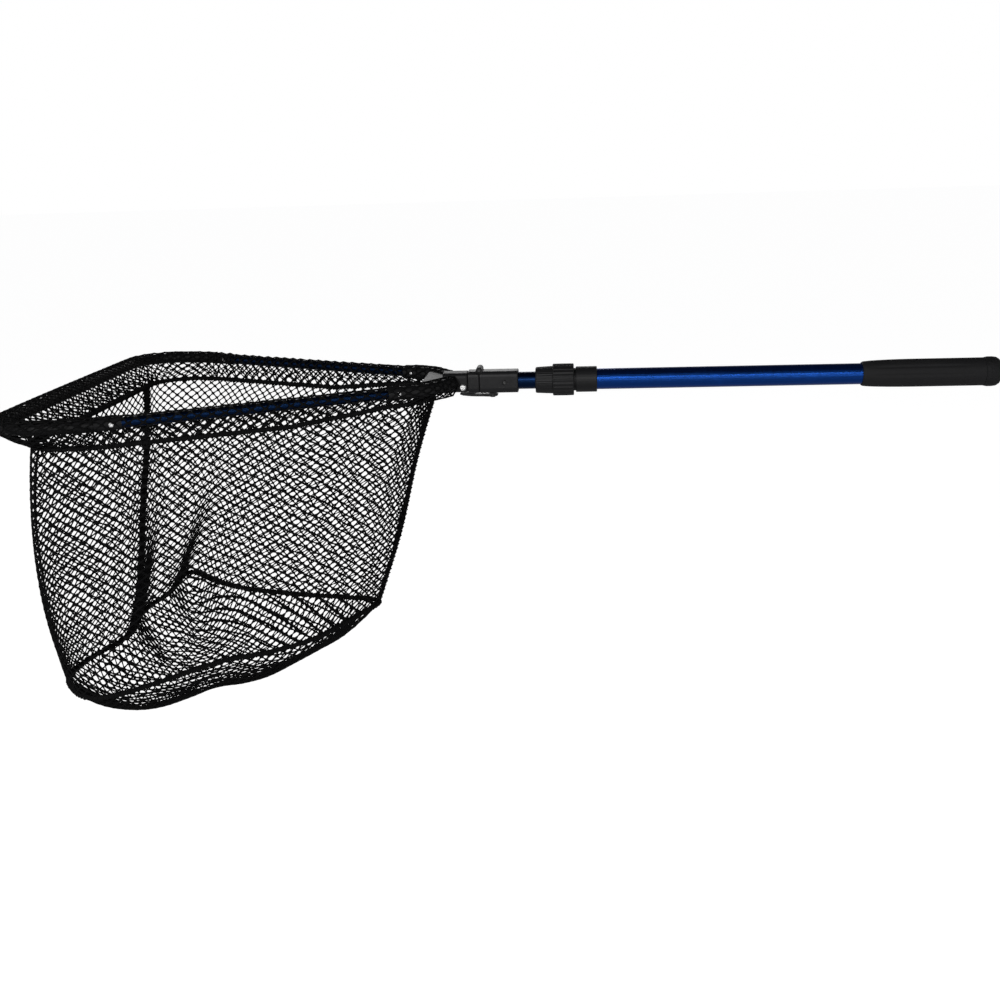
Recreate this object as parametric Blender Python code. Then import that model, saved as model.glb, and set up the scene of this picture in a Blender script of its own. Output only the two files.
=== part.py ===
"""Folding landing net with a telescopic handle, as separate parts.

The handle lies along X with its butt face at the origin. The hoop is at -X, the bag hangs
down, and Y runs across the hoop. All sizes are in metres. Two tubes slide in each other under
a twist lock, and the head folds up and back over the handle on a pin at the top of its joint.
"""

import math

import bmesh
import bpy
import numpy as np
from mathutils import Matrix, Vector

GAP = 0.0003  # running clearance between separate solids
ROUND_SIDES = 36
TUBE_SIDES = 14
CORD_SIDES = 6

# Handle, from the butt face forwards.
CAP_FRONT = -0.0165
GRIP_FRONT = -0.1414
LOCK_BASE_REAR = -0.4184
OUTER_TUBE_FRONT = -0.4300
LOCK_BASE_FRONT = -0.4409
NUT_REAR = -0.4430
NUT_RING_FRONT = -0.4654
NUT_FRONT = -0.4838
OUTER_RADIUS = 0.0110
OUTER_BORE = 0.0098
GRIP_RADIUS = 0.0146
CAP_RADIUS = 0.0155
LOCK_BASE_RADIUS = 0.0136
NECK_RADIUS = 0.0120
NUT_RING_RADIUS = 0.0170
NUT_RIBS = 24

# Extension: the inner tube and the socket that carries the head joint.
INNER_RADIUS = 0.0092
INNER_BORE = 0.0082
INNER_TUBE_REAR = -0.0800
INNER_TUBE_FRONT = -0.5405
SOCKET_REAR = -0.5023
PARTING = -0.5437
HEAD_HALF_WIDTH = 0.0120
HEAD_HALF_HEIGHT = 0.0118
SOCKET_RIVET_X = -0.5167

# Head joint: a pin across the top of the parting line, and a latch under it.
HINGE = Vector((PARTING, 0.0, 0.0128))
KNUCKLE_RADIUS = 0.0036
KNUCKLE_SPLIT = 0.0036
KNUCKLE_END = 0.0095
PIN_RADIUS = 0.0015
LATCH_PIVOT = Vector((-0.5300, 0.0, -0.0145))
LATCH_HALF_WIDTH = 0.0046
LATCH_TIP = -0.5655
LATCH_TAIL = -0.5246

# Yoke and hoop, in plan. Points are (x, y) on the far side and are mirrored for the near side.
BLOCK_FRONT = -0.5560
TONGUE_FRONT = -0.5775
TONGUE_HALF_WIDTH = 0.0057
TONGUE_FOOT = -0.0095
TONGUE_TOP = 0.0070
YOKE_REAR = -0.5563
YOKE_SCREW = Vector((-0.5613, 0.0, -0.0042))
ROOT_HALF_WIDTH = 0.0125
ROOT_HALF_HEIGHT = 0.0105
HORN_ROOT = (-0.5725, 0.0125)
HORN_BEND = (-0.5980, 0.0512)
HORN_END = (-0.6340, 0.0695)
KNEE = (-0.9050, 0.2090)
FRONT_CORNER = (-0.9890, 0.2195)
HORN_BEND_RADIUS = 0.030
KNEE_RADIUS = 0.090
CORNER_RADIUS = 0.042
WEB_FRONT = -0.6040
WEB_HALF_THICKNESS = 0.0045
HORN_RADIUS = 0.0070
ARM_RADIUS = 0.0052
ARM_BORE = 0.0042
BOW_RADIUS = 0.0062
BOW_BORE = 0.0055
ARM_IN_HORN_X = -0.6130
BOW_END_X = -0.8680
ARM_IN_BOW_X = -0.8880
YOKE_RIVET_X = -0.6240
BOW_RIVET_X = -0.8765

# Netting: sleeves round the hoop, a hem cord, three wall panels and a sagging base.
SLEEVE_BORE = 0.0067
SLEEVE_RADIUS = 0.0083
SLEEVE_REAR_X = -0.6400
SLEEVE_BREAK_X = (-0.8710, -0.8820)
FRONT_SLEEVE_LOOSE = 0.010
SKIRT_DROP = 0.0205
SKIRT_DROP_AT_YOKE = 0.0100
SKIRT_DROP_TILT = 0.0080
SKIRT_GROWS_OVER = 0.090
SKIRT_HALF_THICKNESS = 0.0011
HEM_RADIUS = 0.0024
HEM_REAR = (-0.5940, 0.0)
HEM_TURN_X = -0.6150
HEM_TURN_RADIUS = 0.020
HEM_KNEE = (-0.9000, 0.2020)
HEM_CORNER = (-0.9660, 0.2060)
HEM_BELOW_SKIRT = 0.0030
NET_THICKNESS = 0.0012

# Base cord in plan: from the rear corner along the near side, across the front, and back along
# the far side. Its first point is the rear corner.
BASE_ROUTE = (
    (-0.6690, 0.0040), (-0.6850, -0.0310), (-0.7240, -0.0900), (-0.7710, -0.1170),
    (-0.8150, -0.1280), (-0.8650, -0.1640), (-0.9050, -0.1890), (-0.9350, -0.1890),
    (-0.9600, -0.1660), (-0.9800, -0.1300), (-0.9780, -0.0900), (-0.9530, -0.0240),
    (-0.9640, 0.0500), (-0.9500, 0.1050), (-0.9480, 0.1780), (-0.8940, 0.1280),
    (-0.8420, 0.0880), (-0.7650, 0.0490), (-0.7100, 0.0260),
)
BASE_CORNERS = {"near": 8, "seam": 11, "far": 14}
BASE_REAR_LEVEL = -0.2520
BASE_FALL = 0.0967
BASE_TILT = 0.0222
BASE_STEPS = 3
BASE_CORD_RADIUS = 0.0027

# Bag walls and belly.
BAG_CENTRE = Vector((-0.85, 0.0, 0.0))
BULGE = {"rear": 0.0020, "near": 0.0140, "seam": -0.0120}
BULGE_POWER = 0.7
BELLY_CENTRE = Vector((-0.870, 0.0, 0.0))
BELLY_LEVEL = -0.272
BELLY_DEPTH = 0.060
BELLY_POWER = 3.4
BELLY_RINGS = (0.985, 0.93, 0.82, 0.62, 0.34, 0.14)
SEAM_RADIUS = 0.0021
SEAM_ROOM = 0.0045
NET_END_ROOM = 0.0008
NEAR_CORNER_X = -0.944
CLOSING_SEAM_X = -0.945
CLOSING_SEAM_Y = 0.150


# Materials -------------------------------------------------------------------------------


def material(name, colour, roughness, metallic=0.0):
    made = bpy.data.materials.new(name)
    made.use_nodes = True
    shader = made.node_tree.nodes["Principled BSDF"]
    shader.inputs["Base Color"].default_value = (*colour, 1.0)
    shader.inputs["Roughness"].default_value = roughness
    shader.inputs["Metallic"].default_value = metallic
    return made


# Shape helpers ---------------------------------------------------------------------------


def new_object(name, bm, finish=None):
    """An object at the origin from a bmesh, smooth where its faces meet at shallow angles."""
    bmesh.ops.recalc_face_normals(bm, faces=bm.faces)
    mesh = bpy.data.meshes.new(name)
    bm.to_mesh(mesh)
    bm.free()
    mesh.shade_smooth()
    mesh.set_sharp_from_angle(angle=math.radians(35))
    obj = bpy.data.objects.new(name, mesh)
    bpy.context.scene.collection.objects.link(obj)
    if finish:
        mesh.materials.append(finish)
    return obj


def turned(name, profile, finish=None, sides=ROUND_SIDES):
    """A closed (x, radius) outline spun once round the X axis."""
    bm = bmesh.new()
    corners = [bm.verts.new((x, 0.0, radius)) for x, radius in profile]
    edges = [bm.edges.new(pair) for pair in zip(corners, corners[1:] + corners[:1])]
    bmesh.ops.spin(
        bm, geom=corners + edges, axis=(1, 0, 0), cent=(0, 0, 0), angle=math.tau,
        steps=sides, use_merge=True,
    )
    bmesh.ops.remove_doubles(bm, verts=bm.verts, dist=1e-6)
    bmesh.ops.dissolve_degenerate(bm, edges=bm.edges, dist=1e-7)
    loose = [edge for edge in bm.edges if not edge.link_faces]
    bmesh.ops.delete(bm, geom=loose, context="EDGES")
    return new_object(name, bm, finish)


def pipe_outline(rear, front, bore, radius):
    return [(rear, bore), (rear, radius), (front, radius), (front, bore)]


def cross_cylinder(name, centre, radius, low, high, finish=None, sides=20, direction=(0, 1, 0)):
    """A cylinder through centre along direction, from low to high along it."""
    bm = bmesh.new()
    along = Vector(direction).normalized()
    turn = Vector((0, 0, 1)).rotation_difference(along).to_matrix().to_4x4()
    place = Matrix.Translation(Vector(centre) + along * (low + high) / 2) @ turn
    bmesh.ops.create_cone(
        bm, cap_ends=True, segments=sides, radius1=radius, radius2=radius,
        depth=high - low, matrix=place,
    )
    return new_object(name, bm, finish)


def block(name, low, high, finish=None):
    bm = bmesh.new()
    size = Vector(high) - Vector(low)
    middle = (Vector(high) + Vector(low)) / 2
    bmesh.ops.create_cube(bm, size=1.0, matrix=Matrix.Translation(middle) @ Matrix.Diagonal((*size, 1)))
    return new_object(name, bm, finish)


def bevelled(obj, width, segments=2):
    bevel = obj.modifiers.new("Bevel", "BEVEL")
    bevel.width = width
    bevel.segments = segments
    bevel.limit_method = "ANGLE"
    bevel.angle_limit = math.radians(50)
    return obj


def boolean(obj, operation, *others):
    """Joins or cuts with helpers that stay hidden."""
    for other in others:
        other.hide_render = True
        other.display_type = "WIRE"
        step = obj.modifiers.new(f"{operation.title()} {other.name}", "BOOLEAN")
        step.operation = operation
        step.solver = "EXACT"
        step.object = other
    return obj


def prism(name, outline, low, high, axis, finish=None):
    """A flat outline in the plane square to an axis ("Y" or "Z"), extruded from low to high."""
    bm = bmesh.new()
    if axis == "Y":
        corners = [bm.verts.new((a, low, b)) for a, b in outline]
        travel = Vector((0, high - low, 0))
    else:
        corners = [bm.verts.new((a, b, low)) for a, b in outline]
        travel = Vector((0, 0, high - low))
    made = bmesh.ops.extrude_face_region(bm, geom=[bm.faces.new(corners)])
    moved = [item for item in made["geom"] if isinstance(item, bmesh.types.BMVert)]
    bmesh.ops.translate(bm, verts=moved, vec=travel)
    return new_object(name, bm, finish)


def rounded_bar(name, rear, front, half_width, half_height, corner, finish=None):
    """A bar along X with a rounded rectangular section."""
    bm = bmesh.new()
    ring = []
    for quarter in range(4):
        turn = quarter * math.pi / 2
        side_y = 1 if quarter in (0, 3) else -1
        side_z = 1 if quarter in (0, 1) else -1
        for step in range(5):
            angle = turn + step * math.pi / 8
            y = side_y * (half_width - corner) + corner * math.cos(angle)
            z = side_z * (half_height - corner) + corner * math.sin(angle)
            ring.append(bm.verts.new((rear, y, z)))
    made = bmesh.ops.extrude_face_region(bm, geom=[bm.faces.new(ring)])
    moved = [item for item in made["geom"] if isinstance(item, bmesh.types.BMVert)]
    bmesh.ops.translate(bm, verts=moved, vec=(front - rear, 0, 0))
    return new_object(name, bm, finish)


def filleted(points, radii, arc_steps=6):
    """A polyline whose inner corners become arcs of the given radii."""
    points = [Vector(point) for point in points]
    made = [points[0]]
    for before, corner, after, radius in zip(points, points[1:], points[2:], radii):
        arriving = (before - corner).normalized()
        leaving = (after - corner).normalized()
        half = arriving.angle(leaving) / 2
        centre = corner + (arriving + leaving).normalized() * radius / math.sin(half)
        start = corner + arriving * radius / math.tan(half)
        finish = corner + leaving * radius / math.tan(half)
        first = (start - centre).normalized()
        last = (finish - centre).normalized()
        for step in range(arc_steps + 1):
            made.append(centre + first.slerp(last, step / arc_steps).normalized() * radius)
    made.append(points[-1])
    return made


def resampled(path, count, start_trim=0.0, end_trim=0.0):
    """Evenly spaced points along a path, leaving out a length at each end."""
    points = np.array([tuple(point) for point in path])
    run = np.concatenate([[0], np.cumsum(np.linalg.norm(np.diff(points, axis=0), axis=1))])
    wanted = np.linspace(start_trim, run[-1] - end_trim, count)
    return [Vector([np.interp(at, run, points[:, axis]) for axis in range(3)]) for at in wanted]


def part_of(path, x_from, x_to):
    """The stretch of a path whose x falls from x_from to x_to, with its ends cut exactly there."""
    kept = []
    for before, after in zip(path, path[1:]):
        for x_cut in (x_from, x_to):
            if (before.x - x_cut) * (after.x - x_cut) < 0:
                kept.append(before.lerp(after, (x_cut - before.x) / (after.x - before.x)))
        if x_to < after.x < x_from:
            kept.append(after.copy())
    return kept


def circle(radius, sides):
    return [(radius * math.cos(math.tau * i / sides), radius * math.sin(math.tau * i / sides))
            for i in range(sides)]


def swept(name, path, outer, inner=None, closed=False, upright=(0, 0, 1), finish=None):
    """A section carried along a path. outer and inner give (side, up) points, or are functions of
    the station's place from 0 to 1 that return them. An inner section, of as many points, makes
    it a pipe."""
    outer_at = outer if callable(outer) else lambda place: outer
    inner_at = inner if callable(inner) or inner is None else lambda place: inner
    bm = bmesh.new()
    rings = []
    count = len(path)
    for i, point in enumerate(path):
        before = path[i - 1] if closed or i else point
        after = path[(i + 1) % count] if closed or i < count - 1 else point
        forward = (after - before).normalized()
        side = forward.cross(Vector(upright)).normalized()
        up = side.cross(forward)
        sections = [outer_at(i / (count - 1))]
        if inner_at:
            sections.append(inner_at(i / (count - 1)))
        rings.append([[bm.verts.new(point + side * a + up * b) for a, b in section]
                      for section in sections])
    pairs = list(zip(rings, rings[1:]))
    if closed:
        pairs.append((rings[-1], rings[0]))
    for first, second in pairs:
        for ring, following in zip(first, second):
            for k in range(len(ring)):
                n = (k + 1) % len(ring)
                bm.faces.new((ring[k], ring[n], following[n], following[k]))
    if not closed:
        for end in (rings[0], rings[-1]):
            if inner_at:
                for k in range(len(end[0])):
                    n = (k + 1) % len(end[0])
                    bm.faces.new((end[0][k], end[0][n], end[1][n], end[1][k]))
            else:
                bm.faces.new(end[0])
    return new_object(name, bm, finish)


def panel(name, rows, thickness, finish=None):
    """A sheet through rows of points, with a wall thickness."""
    bm = bmesh.new()
    grid = [[bm.verts.new(point) for point in row] for row in rows]
    for lower, upper in zip(grid, grid[1:]):
        for k in range(len(lower) - 1):
            bm.faces.new((lower[k], lower[k + 1], upper[k + 1], upper[k]))
    obj = new_object(name, bm, finish)
    wall = obj.modifiers.new("Wall", "SOLIDIFY")
    wall.thickness = thickness
    wall.offset = 0.0
    return obj


def mirrored(path):
    return [Vector((point.x, -point.y, point.z)) for point in path]


# Hoop centre line ------------------------------------------------------------------------


def flat(point, z=0.0):
    return Vector((point[0], point[1], z))


def horn_line():
    return filleted([flat(HORN_ROOT), flat(HORN_BEND), flat(HORN_END)], [HORN_BEND_RADIUS])


def far_line():
    """From the far horn to the middle of the front bar."""
    front_middle = Vector((FRONT_CORNER[0], 0.0, 0.0))
    corners = [flat(HORN_END), flat(KNEE), flat(FRONT_CORNER), front_middle]
    return filleted(corners, [KNEE_RADIUS, CORNER_RADIUS])


def arm_direction():
    return (flat(KNEE) - flat(HORN_END)).normalized()


def on_arm(x):
    """The point of the far arm's centre line at this x."""
    start = flat(HORN_END)
    direction = arm_direction()
    return start + direction * (x - start.x) / direction.x


def skirt_drop(point):
    """How far the sleeve's skirt hangs below the hoop: less towards the yoke, more on the far side."""
    blend = min(1.0, max(0.0, (HORN_END[0] - point.x) / SKIRT_GROWS_OVER))
    full = SKIRT_DROP + SKIRT_DROP_TILT * point.y
    return SKIRT_DROP_AT_YOKE + (full - SKIRT_DROP_AT_YOKE) * blend


# Handle ----------------------------------------------------------------------------------


def build_handle():
    blue = material("blue anodised aluminium", (0.010, 0.060, 0.330), 0.25, 1.0)
    rubber = material("grip rubber", (0.018, 0.018, 0.018), 0.75)
    black = material("black moulding", (0.015, 0.015, 0.016), 0.45)
    nylon = material("collet nylon", (0.60, 0.60, 0.58), 0.5)
    tube_rear = CAP_FRONT - GAP
    turned("outer_tube", pipe_outline(tube_rear, OUTER_TUBE_FRONT, OUTER_BORE, OUTER_RADIUS), blue)
    bore = OUTER_RADIUS + GAP
    turned("grip", [
        (GRIP_FRONT, bore), (GRIP_FRONT, 0.0120), (GRIP_FRONT + 0.0012, 0.0128),
        (-0.1320, 0.0136), (-0.1130, 0.0143), (-0.0900, GRIP_RADIUS),
        (tube_rear, GRIP_RADIUS), (tube_rear, bore),
    ], rubber)
    plug = OUTER_BORE - GAP
    turned("grip_end_cap", [
        (0.0, 0.0), (0.0, 0.0105), (-0.0014, 0.0132), (-0.0042, 0.0150), (-0.0080, CAP_RADIUS),
        (-0.0130, CAP_RADIUS), (CAP_FRONT, 0.0147), (CAP_FRONT, plug), (-0.0430, plug),
        (-0.0450, plug - 0.0015), (-0.0450, 0.0),
    ], rubber)
    clear = INNER_RADIUS + GAP
    step = OUTER_TUBE_FRONT - GAP
    edge = LOCK_BASE_RADIUS - 0.0006
    turned("lock_base", [
        (LOCK_BASE_REAR, bore), (LOCK_BASE_REAR, edge), (LOCK_BASE_REAR - 0.0006, LOCK_BASE_RADIUS),
        (LOCK_BASE_FRONT + 0.0006, LOCK_BASE_RADIUS), (LOCK_BASE_FRONT, edge),
        (LOCK_BASE_FRONT, NECK_RADIUS), (-0.4580, NECK_RADIUS), (-0.4580, clear),
        (step, clear), (step, bore),
    ], black)
    collet = turned("lock_collet", [
        (-0.4585, clear), (-0.4585, 0.0116), (-0.4625, 0.0116), (-0.4700, 0.0102), (-0.4700, clear),
    ], nylon)
    slit = block("collet slit", (-0.48, -0.001, 0.0), (-0.45, 0.001, 0.02))
    boolean(collet, "DIFFERENCE", slit)


def build_lock_nut():
    black = material("lock nut moulding", (0.017, 0.017, 0.018), 0.42)
    nose = INNER_RADIUS + GAP + 0.0001
    nut = turned("lock_nut", [
        (NUT_REAR, 0.0124), (NUT_REAR, NUT_RING_RADIUS - 0.0006),
        (NUT_REAR - 0.0006, NUT_RING_RADIUS), (NUT_RING_FRONT + 0.0006, NUT_RING_RADIUS),
        (NUT_RING_FRONT, NUT_RING_RADIUS - 0.0006), (NUT_RING_FRONT, 0.0147),
        (NUT_FRONT + 0.0008, 0.0138), (NUT_FRONT, 0.0130), (NUT_FRONT, nose),
        (-0.4715, nose), (-0.4705, 0.0107), (-0.4628, 0.0124),
    ], black, sides=2 * NUT_RIBS)
    for vert in nut.data.vertices:
        angle = math.atan2(vert.co.z, vert.co.y)
        radius = math.hypot(vert.co.y, vert.co.z)
        between_ribs = round(angle / math.tau * 2 * NUT_RIBS) % 2
        if radius > 0.016 and between_ribs:
            vert.co.y *= 1 - 0.0005 / radius
            vert.co.z *= 1 - 0.0005 / radius


# Extension -------------------------------------------------------------------------------


def build_extension():
    navy = material("navy anodised aluminium", (0.010, 0.022, 0.055), 0.30, 1.0)
    nylon = material("guide nylon", (0.55, 0.55, 0.53), 0.5)
    black = material("head socket moulding", (0.016, 0.016, 0.017), 0.45)
    steel = material("bright steel", (0.62, 0.62, 0.62), 0.28, 1.0)
    tube = turned("inner_tube",
                  pipe_outline(INNER_TUBE_REAR, INNER_TUBE_FRONT, INNER_BORE, INNER_RADIUS), navy)
    stem = INNER_BORE - GAP
    turned("tube_guide", [
        (-0.0660, 0.0), (-0.0660, 0.0088), (-0.0668, 0.0095), (INNER_TUBE_REAR + GAP, 0.0095),
        (INNER_TUBE_REAR + GAP, stem), (-0.1000, stem), (-0.1000, 0.0),
    ], nylon)
    socket = rounded_bar("head_socket", SOCKET_REAR, PARTING + GAP / 2, HEAD_HALF_WIDTH,
                         HEAD_HALF_HEIGHT, 0.0055, black)
    bevelled(socket, 0.0007)
    joined = []
    for side in (-1, 1):
        low, high = sorted((side * (KNUCKLE_SPLIT + GAP), side * KNUCKLE_END))
        joined.append(cross_cylinder("socket knuckle", HINGE, KNUCKLE_RADIUS, low, high))
        low, high = sorted((side * (LATCH_HALF_WIDTH + GAP), side * 0.0072))
        ear = [(-0.5335, -0.0105), (-0.5335, -0.0150), (-0.5320, -0.0165), (-0.5280, -0.0165),
               (-0.5265, -0.0150), (-0.5265, -0.0105)]
        joined.append(prism("latch ear", ear, low, high, "Y"))
    boolean(socket, "UNION", *joined)
    bore = turned("socket bore", [
        (-0.49, 0.0), (-0.49, INNER_RADIUS + GAP), (-0.5408, INNER_RADIUS + GAP), (-0.5408, 0.0)])
    reach = KNUCKLE_SPLIT + GAP
    recess = cross_cylinder("block knuckle room", HINGE, KNUCKLE_RADIUS + GAP, -reach, reach)
    pin_hole = cross_cylinder("hinge pin hole", HINGE, PIN_RADIUS + GAP, -0.02, 0.02, sides=16)
    rivet_at = (SOCKET_RIVET_X, 0.0, 0.0)
    rivet_hole = cross_cylinder("socket rivet hole", rivet_at, 0.0018, -0.02, 0.02, sides=12)
    latch_hole = cross_cylinder("latch pin hole", LATCH_PIVOT, 0.0013, -0.02, 0.02, sides=12)
    boolean(socket, "DIFFERENCE", bore, recess, pin_hole, rivet_hole, latch_hole)
    tube_hole = cross_cylinder("tube rivet hole", rivet_at, 0.0018, -0.02, 0.02, sides=12)
    boolean(tube, "DIFFERENCE", tube_hole)
    headed_pin("socket_rivet", rivet_at, (0, 1, 0), 0.0015, 0.0026, HEAD_HALF_WIDTH, 0.0008, steel)
    headed_pin("hinge_pin", HINGE, (0, 1, 0), PIN_RADIUS, 0.0024, KNUCKLE_END, 0.0007, steel)
    cross_cylinder("latch_pin", LATCH_PIVOT, 0.0010, -0.0070, 0.0070, steel, sides=10)
    spring = [(-0.5470, -0.0121), (-0.5440, -0.0124), (-0.5410, -0.0131), (-0.5390, -0.0131),
              (-0.5360, -0.0124), (-0.5330, -0.0121), (-0.5330, -0.0124), (-0.5362, -0.0127),
              (-0.5390, -0.0134), (-0.5410, -0.0134), (-0.5438, -0.0127), (-0.5470, -0.0124)]
    prism("latch_spring", spring, -0.0015, 0.0015, "Y", steel)


def headed_pin(name, centre, direction, radius, head_radius, grip, head, finish):
    """A pin along direction with a low domed head at each end, just outside the grip length."""
    along = Vector(direction).normalized()
    turn = Vector((1, 0, 0)).rotation_difference(along).to_matrix().to_4x4()
    end = grip + GAP
    outline = [
        (-end - head, 0.0), (-end - head, head_radius * 0.6), (-end, head_radius), (-end, radius),
        (end, radius), (end, head_radius), (end + head, head_radius * 0.6), (end + head, 0.0),
    ]
    pin = turned(name, outline, finish, sides=14)
    pin.matrix_world = Matrix.Translation(Vector(centre)) @ turn
    return pin


def build_latch():
    black = material("latch moulding", (0.014, 0.014, 0.015), 0.40)
    top = -HEAD_HALF_HEIGHT - GAP
    pivot = LATCH_PIVOT
    outline = [
        (LATCH_TIP, top - 0.0006), (LATCH_TIP + 0.0006, top), (-0.5500, top), (-0.5490, top - 0.0018),
        (-0.5320, top - 0.0018), (-0.5310, top), (-0.5296, top), (LATCH_TAIL, top - 0.0022),
        (LATCH_TAIL, -0.0152), (-0.5280, -0.0166), (-0.5380, -0.0162), (-0.5520, -0.0158),
        (-0.5620, -0.0148), (LATCH_TIP, -0.0135),
    ]
    centred = [(x - pivot.x, z - pivot.z) for x, z in outline]
    lever = prism("latch_lever", centred, -LATCH_HALF_WIDTH, LATCH_HALF_WIDTH, "Y", black)
    lever.location = pivot
    hole = cross_cylinder("lever pin hole", LATCH_PIVOT, 0.0013, -0.02, 0.02, sides=12)
    boolean(lever, "DIFFERENCE", hole)


# Head ------------------------------------------------------------------------------------


def build_head_joint():
    black = material("hinge block moulding", (0.020, 0.020, 0.021), 0.42)
    steel = material("yoke screw steel", (0.66, 0.66, 0.66), 0.25, 1.0)
    made = rounded_bar("hinge_block", PARTING - GAP / 2, BLOCK_FRONT, HEAD_HALF_WIDTH,
                       HEAD_HALF_HEIGHT, 0.0055, black)
    bevelled(made, 0.0007)
    tongue = block("block tongue", (TONGUE_FRONT, -TONGUE_HALF_WIDTH, TONGUE_FOOT),
                   (BLOCK_FRONT + 0.004, TONGUE_HALF_WIDTH, TONGUE_TOP))
    knuckle = cross_cylinder("block knuckle", HINGE, KNUCKLE_RADIUS, -KNUCKLE_SPLIT, KNUCKLE_SPLIT)
    boolean(made, "UNION", tongue, knuckle)
    cutters = [cross_cylinder("block pin hole", HINGE, PIN_RADIUS + GAP, -0.02, 0.02, sides=16)]
    for side in (-1, 1):
        low, high = sorted((side * KNUCKLE_SPLIT, side * (KNUCKLE_END + 0.0020)))
        cutters.append(
            cross_cylinder("socket knuckle room", HINGE, KNUCKLE_RADIUS + GAP, low, high))
    cutters.append(cross_cylinder("block screw hole", YOKE_SCREW, 0.0023, -0.02, 0.02, sides=16))
    boolean(made, "DIFFERENCE", *cutters)

    end = ROOT_HALF_WIDTH + GAP
    screw_outline = [
        (-end - 0.0024, 0.0), (-end - 0.0024, 0.0026), (-end - 0.0016, 0.0036), (-end, 0.0039),
        (-end, 0.0020), (end + 0.0040, 0.0020), (end + 0.0040, 0.0),
    ]
    screw = turned("yoke_screw", screw_outline, steel, sides=24)
    quarter = Matrix.Rotation(math.pi / 2, 4, "Z")
    screw.matrix_world = Matrix.Translation(YOKE_SCREW) @ quarter
    nut = cross_cylinder("yoke_screw_nut", YOKE_SCREW, 0.0040, end, end + 0.0030, steel, sides=6)
    nut_hole = cross_cylinder("nut hole", YOKE_SCREW, 0.0023, 0.0, 0.03, sides=12)
    boolean(nut, "DIFFERENCE", nut_hole)


def build_yoke():
    black = material("yoke moulding", (0.014, 0.014, 0.015), 0.50)
    yoke = rounded_bar("yoke", YOKE_REAR, -0.5830, ROOT_HALF_WIDTH, ROOT_HALF_HEIGHT, 0.0050, black)
    bevelled(yoke, 0.0006)
    web = [(-0.5700, -0.0110), (-0.6000, -0.0480), (WEB_FRONT, -0.0480), (WEB_FRONT, 0.0480),
           (-0.6000, 0.0480), (-0.5700, 0.0110)]
    joined = [prism("yoke web", web, -WEB_HALF_THICKNESS, WEB_HALF_THICKNESS, "Z")]
    horn = horn_line()
    for side, path in (("near", mirrored(horn)), ("far", horn)):
        joined.append(swept(f"{side} horn", path, circle(HORN_RADIUS, 16)))
    boolean(yoke, "UNION", *joined)
    room = TONGUE_HALF_WIDTH + GAP
    cutters = [
        block("tongue slot", (TONGUE_FRONT - GAP, -room, TONGUE_FOOT - GAP),
              (YOKE_REAR + 0.005, room, TONGUE_TOP + GAP)),
        cross_cylinder("yoke screw hole", YOKE_SCREW, 0.0023, -0.03, 0.03, sides=16),
    ]
    direction = arm_direction()
    for side in (-1, 1):
        aim = Vector((direction.x, side * direction.y, 0.0))
        start = on_arm(ARM_IN_HORN_X + GAP)
        start.y *= side
        cutters.append(
            cross_cylinder("arm bore", start, ARM_RADIUS + GAP, 0.0, 0.06, sides=16, direction=aim))
        cutters.append(rivet_hole(YOKE_RIVET_X, side))
    boolean(yoke, "DIFFERENCE", *cutters)


def rivet_place(x, side):
    """Where a rivet crosses an arm, and its direction square to the arm in the hoop's plane."""
    centre = on_arm(x)
    direction = arm_direction()
    return Vector((centre.x, side * centre.y, 0.0)), Vector((side * direction.y, -direction.x, 0.0))


def rivet_hole(x, side):
    centre, direction = rivet_place(x, side)
    return cross_cylinder("rivet hole", centre, 0.0018, -0.012, 0.012, sides=12, direction=direction)


def build_hoop():
    navy = material("navy arm aluminium", (0.008, 0.018, 0.060), 0.35, 1.0)
    coated = material("black coated bow", (0.014, 0.014, 0.015), 0.55)
    steel = material("rivet aluminium", (0.70, 0.70, 0.70), 0.35, 1.0)
    arm_path = [on_arm(ARM_IN_HORN_X), on_arm(ARM_IN_BOW_X)]
    for name, side, path in (("near", -1, mirrored(arm_path)), ("far", 1, arm_path)):
        arm = swept(f"{name}_arm", path, circle(ARM_RADIUS, TUBE_SIDES), circle(ARM_BORE, TUBE_SIDES),
                    finish=navy)
        boolean(arm, "DIFFERENCE", rivet_hole(YOKE_RIVET_X, side), rivet_hole(BOW_RIVET_X, side))
        for place, x, grip in (("yoke", YOKE_RIVET_X, HORN_RADIUS), ("bow", BOW_RIVET_X, BOW_RADIUS)):
            centre, direction = rivet_place(x, side)
            headed_pin(f"{place}_rivet_{name}", centre, direction, 0.0015, 0.0024, grip, 0.0008, steel)
    half = part_of(far_line(), BOW_END_X, -2.0)
    bow_path = mirrored(half) + half[-2::-1]
    bow = swept("front_bow", bow_path, circle(BOW_RADIUS, TUBE_SIDES), circle(BOW_BORE, TUBE_SIDES),
                finish=coated)
    boolean(bow, "DIFFERENCE", rivet_hole(BOW_RIVET_X, -1), rivet_hole(BOW_RIVET_X, 1))


# Netting ---------------------------------------------------------------------------------


SLEEVE_ANGLES = [math.radians(-35 + step * 250 / 8) for step in range(9)]
SKIRT_ANGLES = [math.radians(angle) for angle in (235, 257, 283, 305)]


def sleeve_bore():
    return [(SLEEVE_BORE * math.cos(angle), SLEEVE_BORE * math.sin(angle))
            for angle in SLEEVE_ANGLES + SKIRT_ANGLES]


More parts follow.
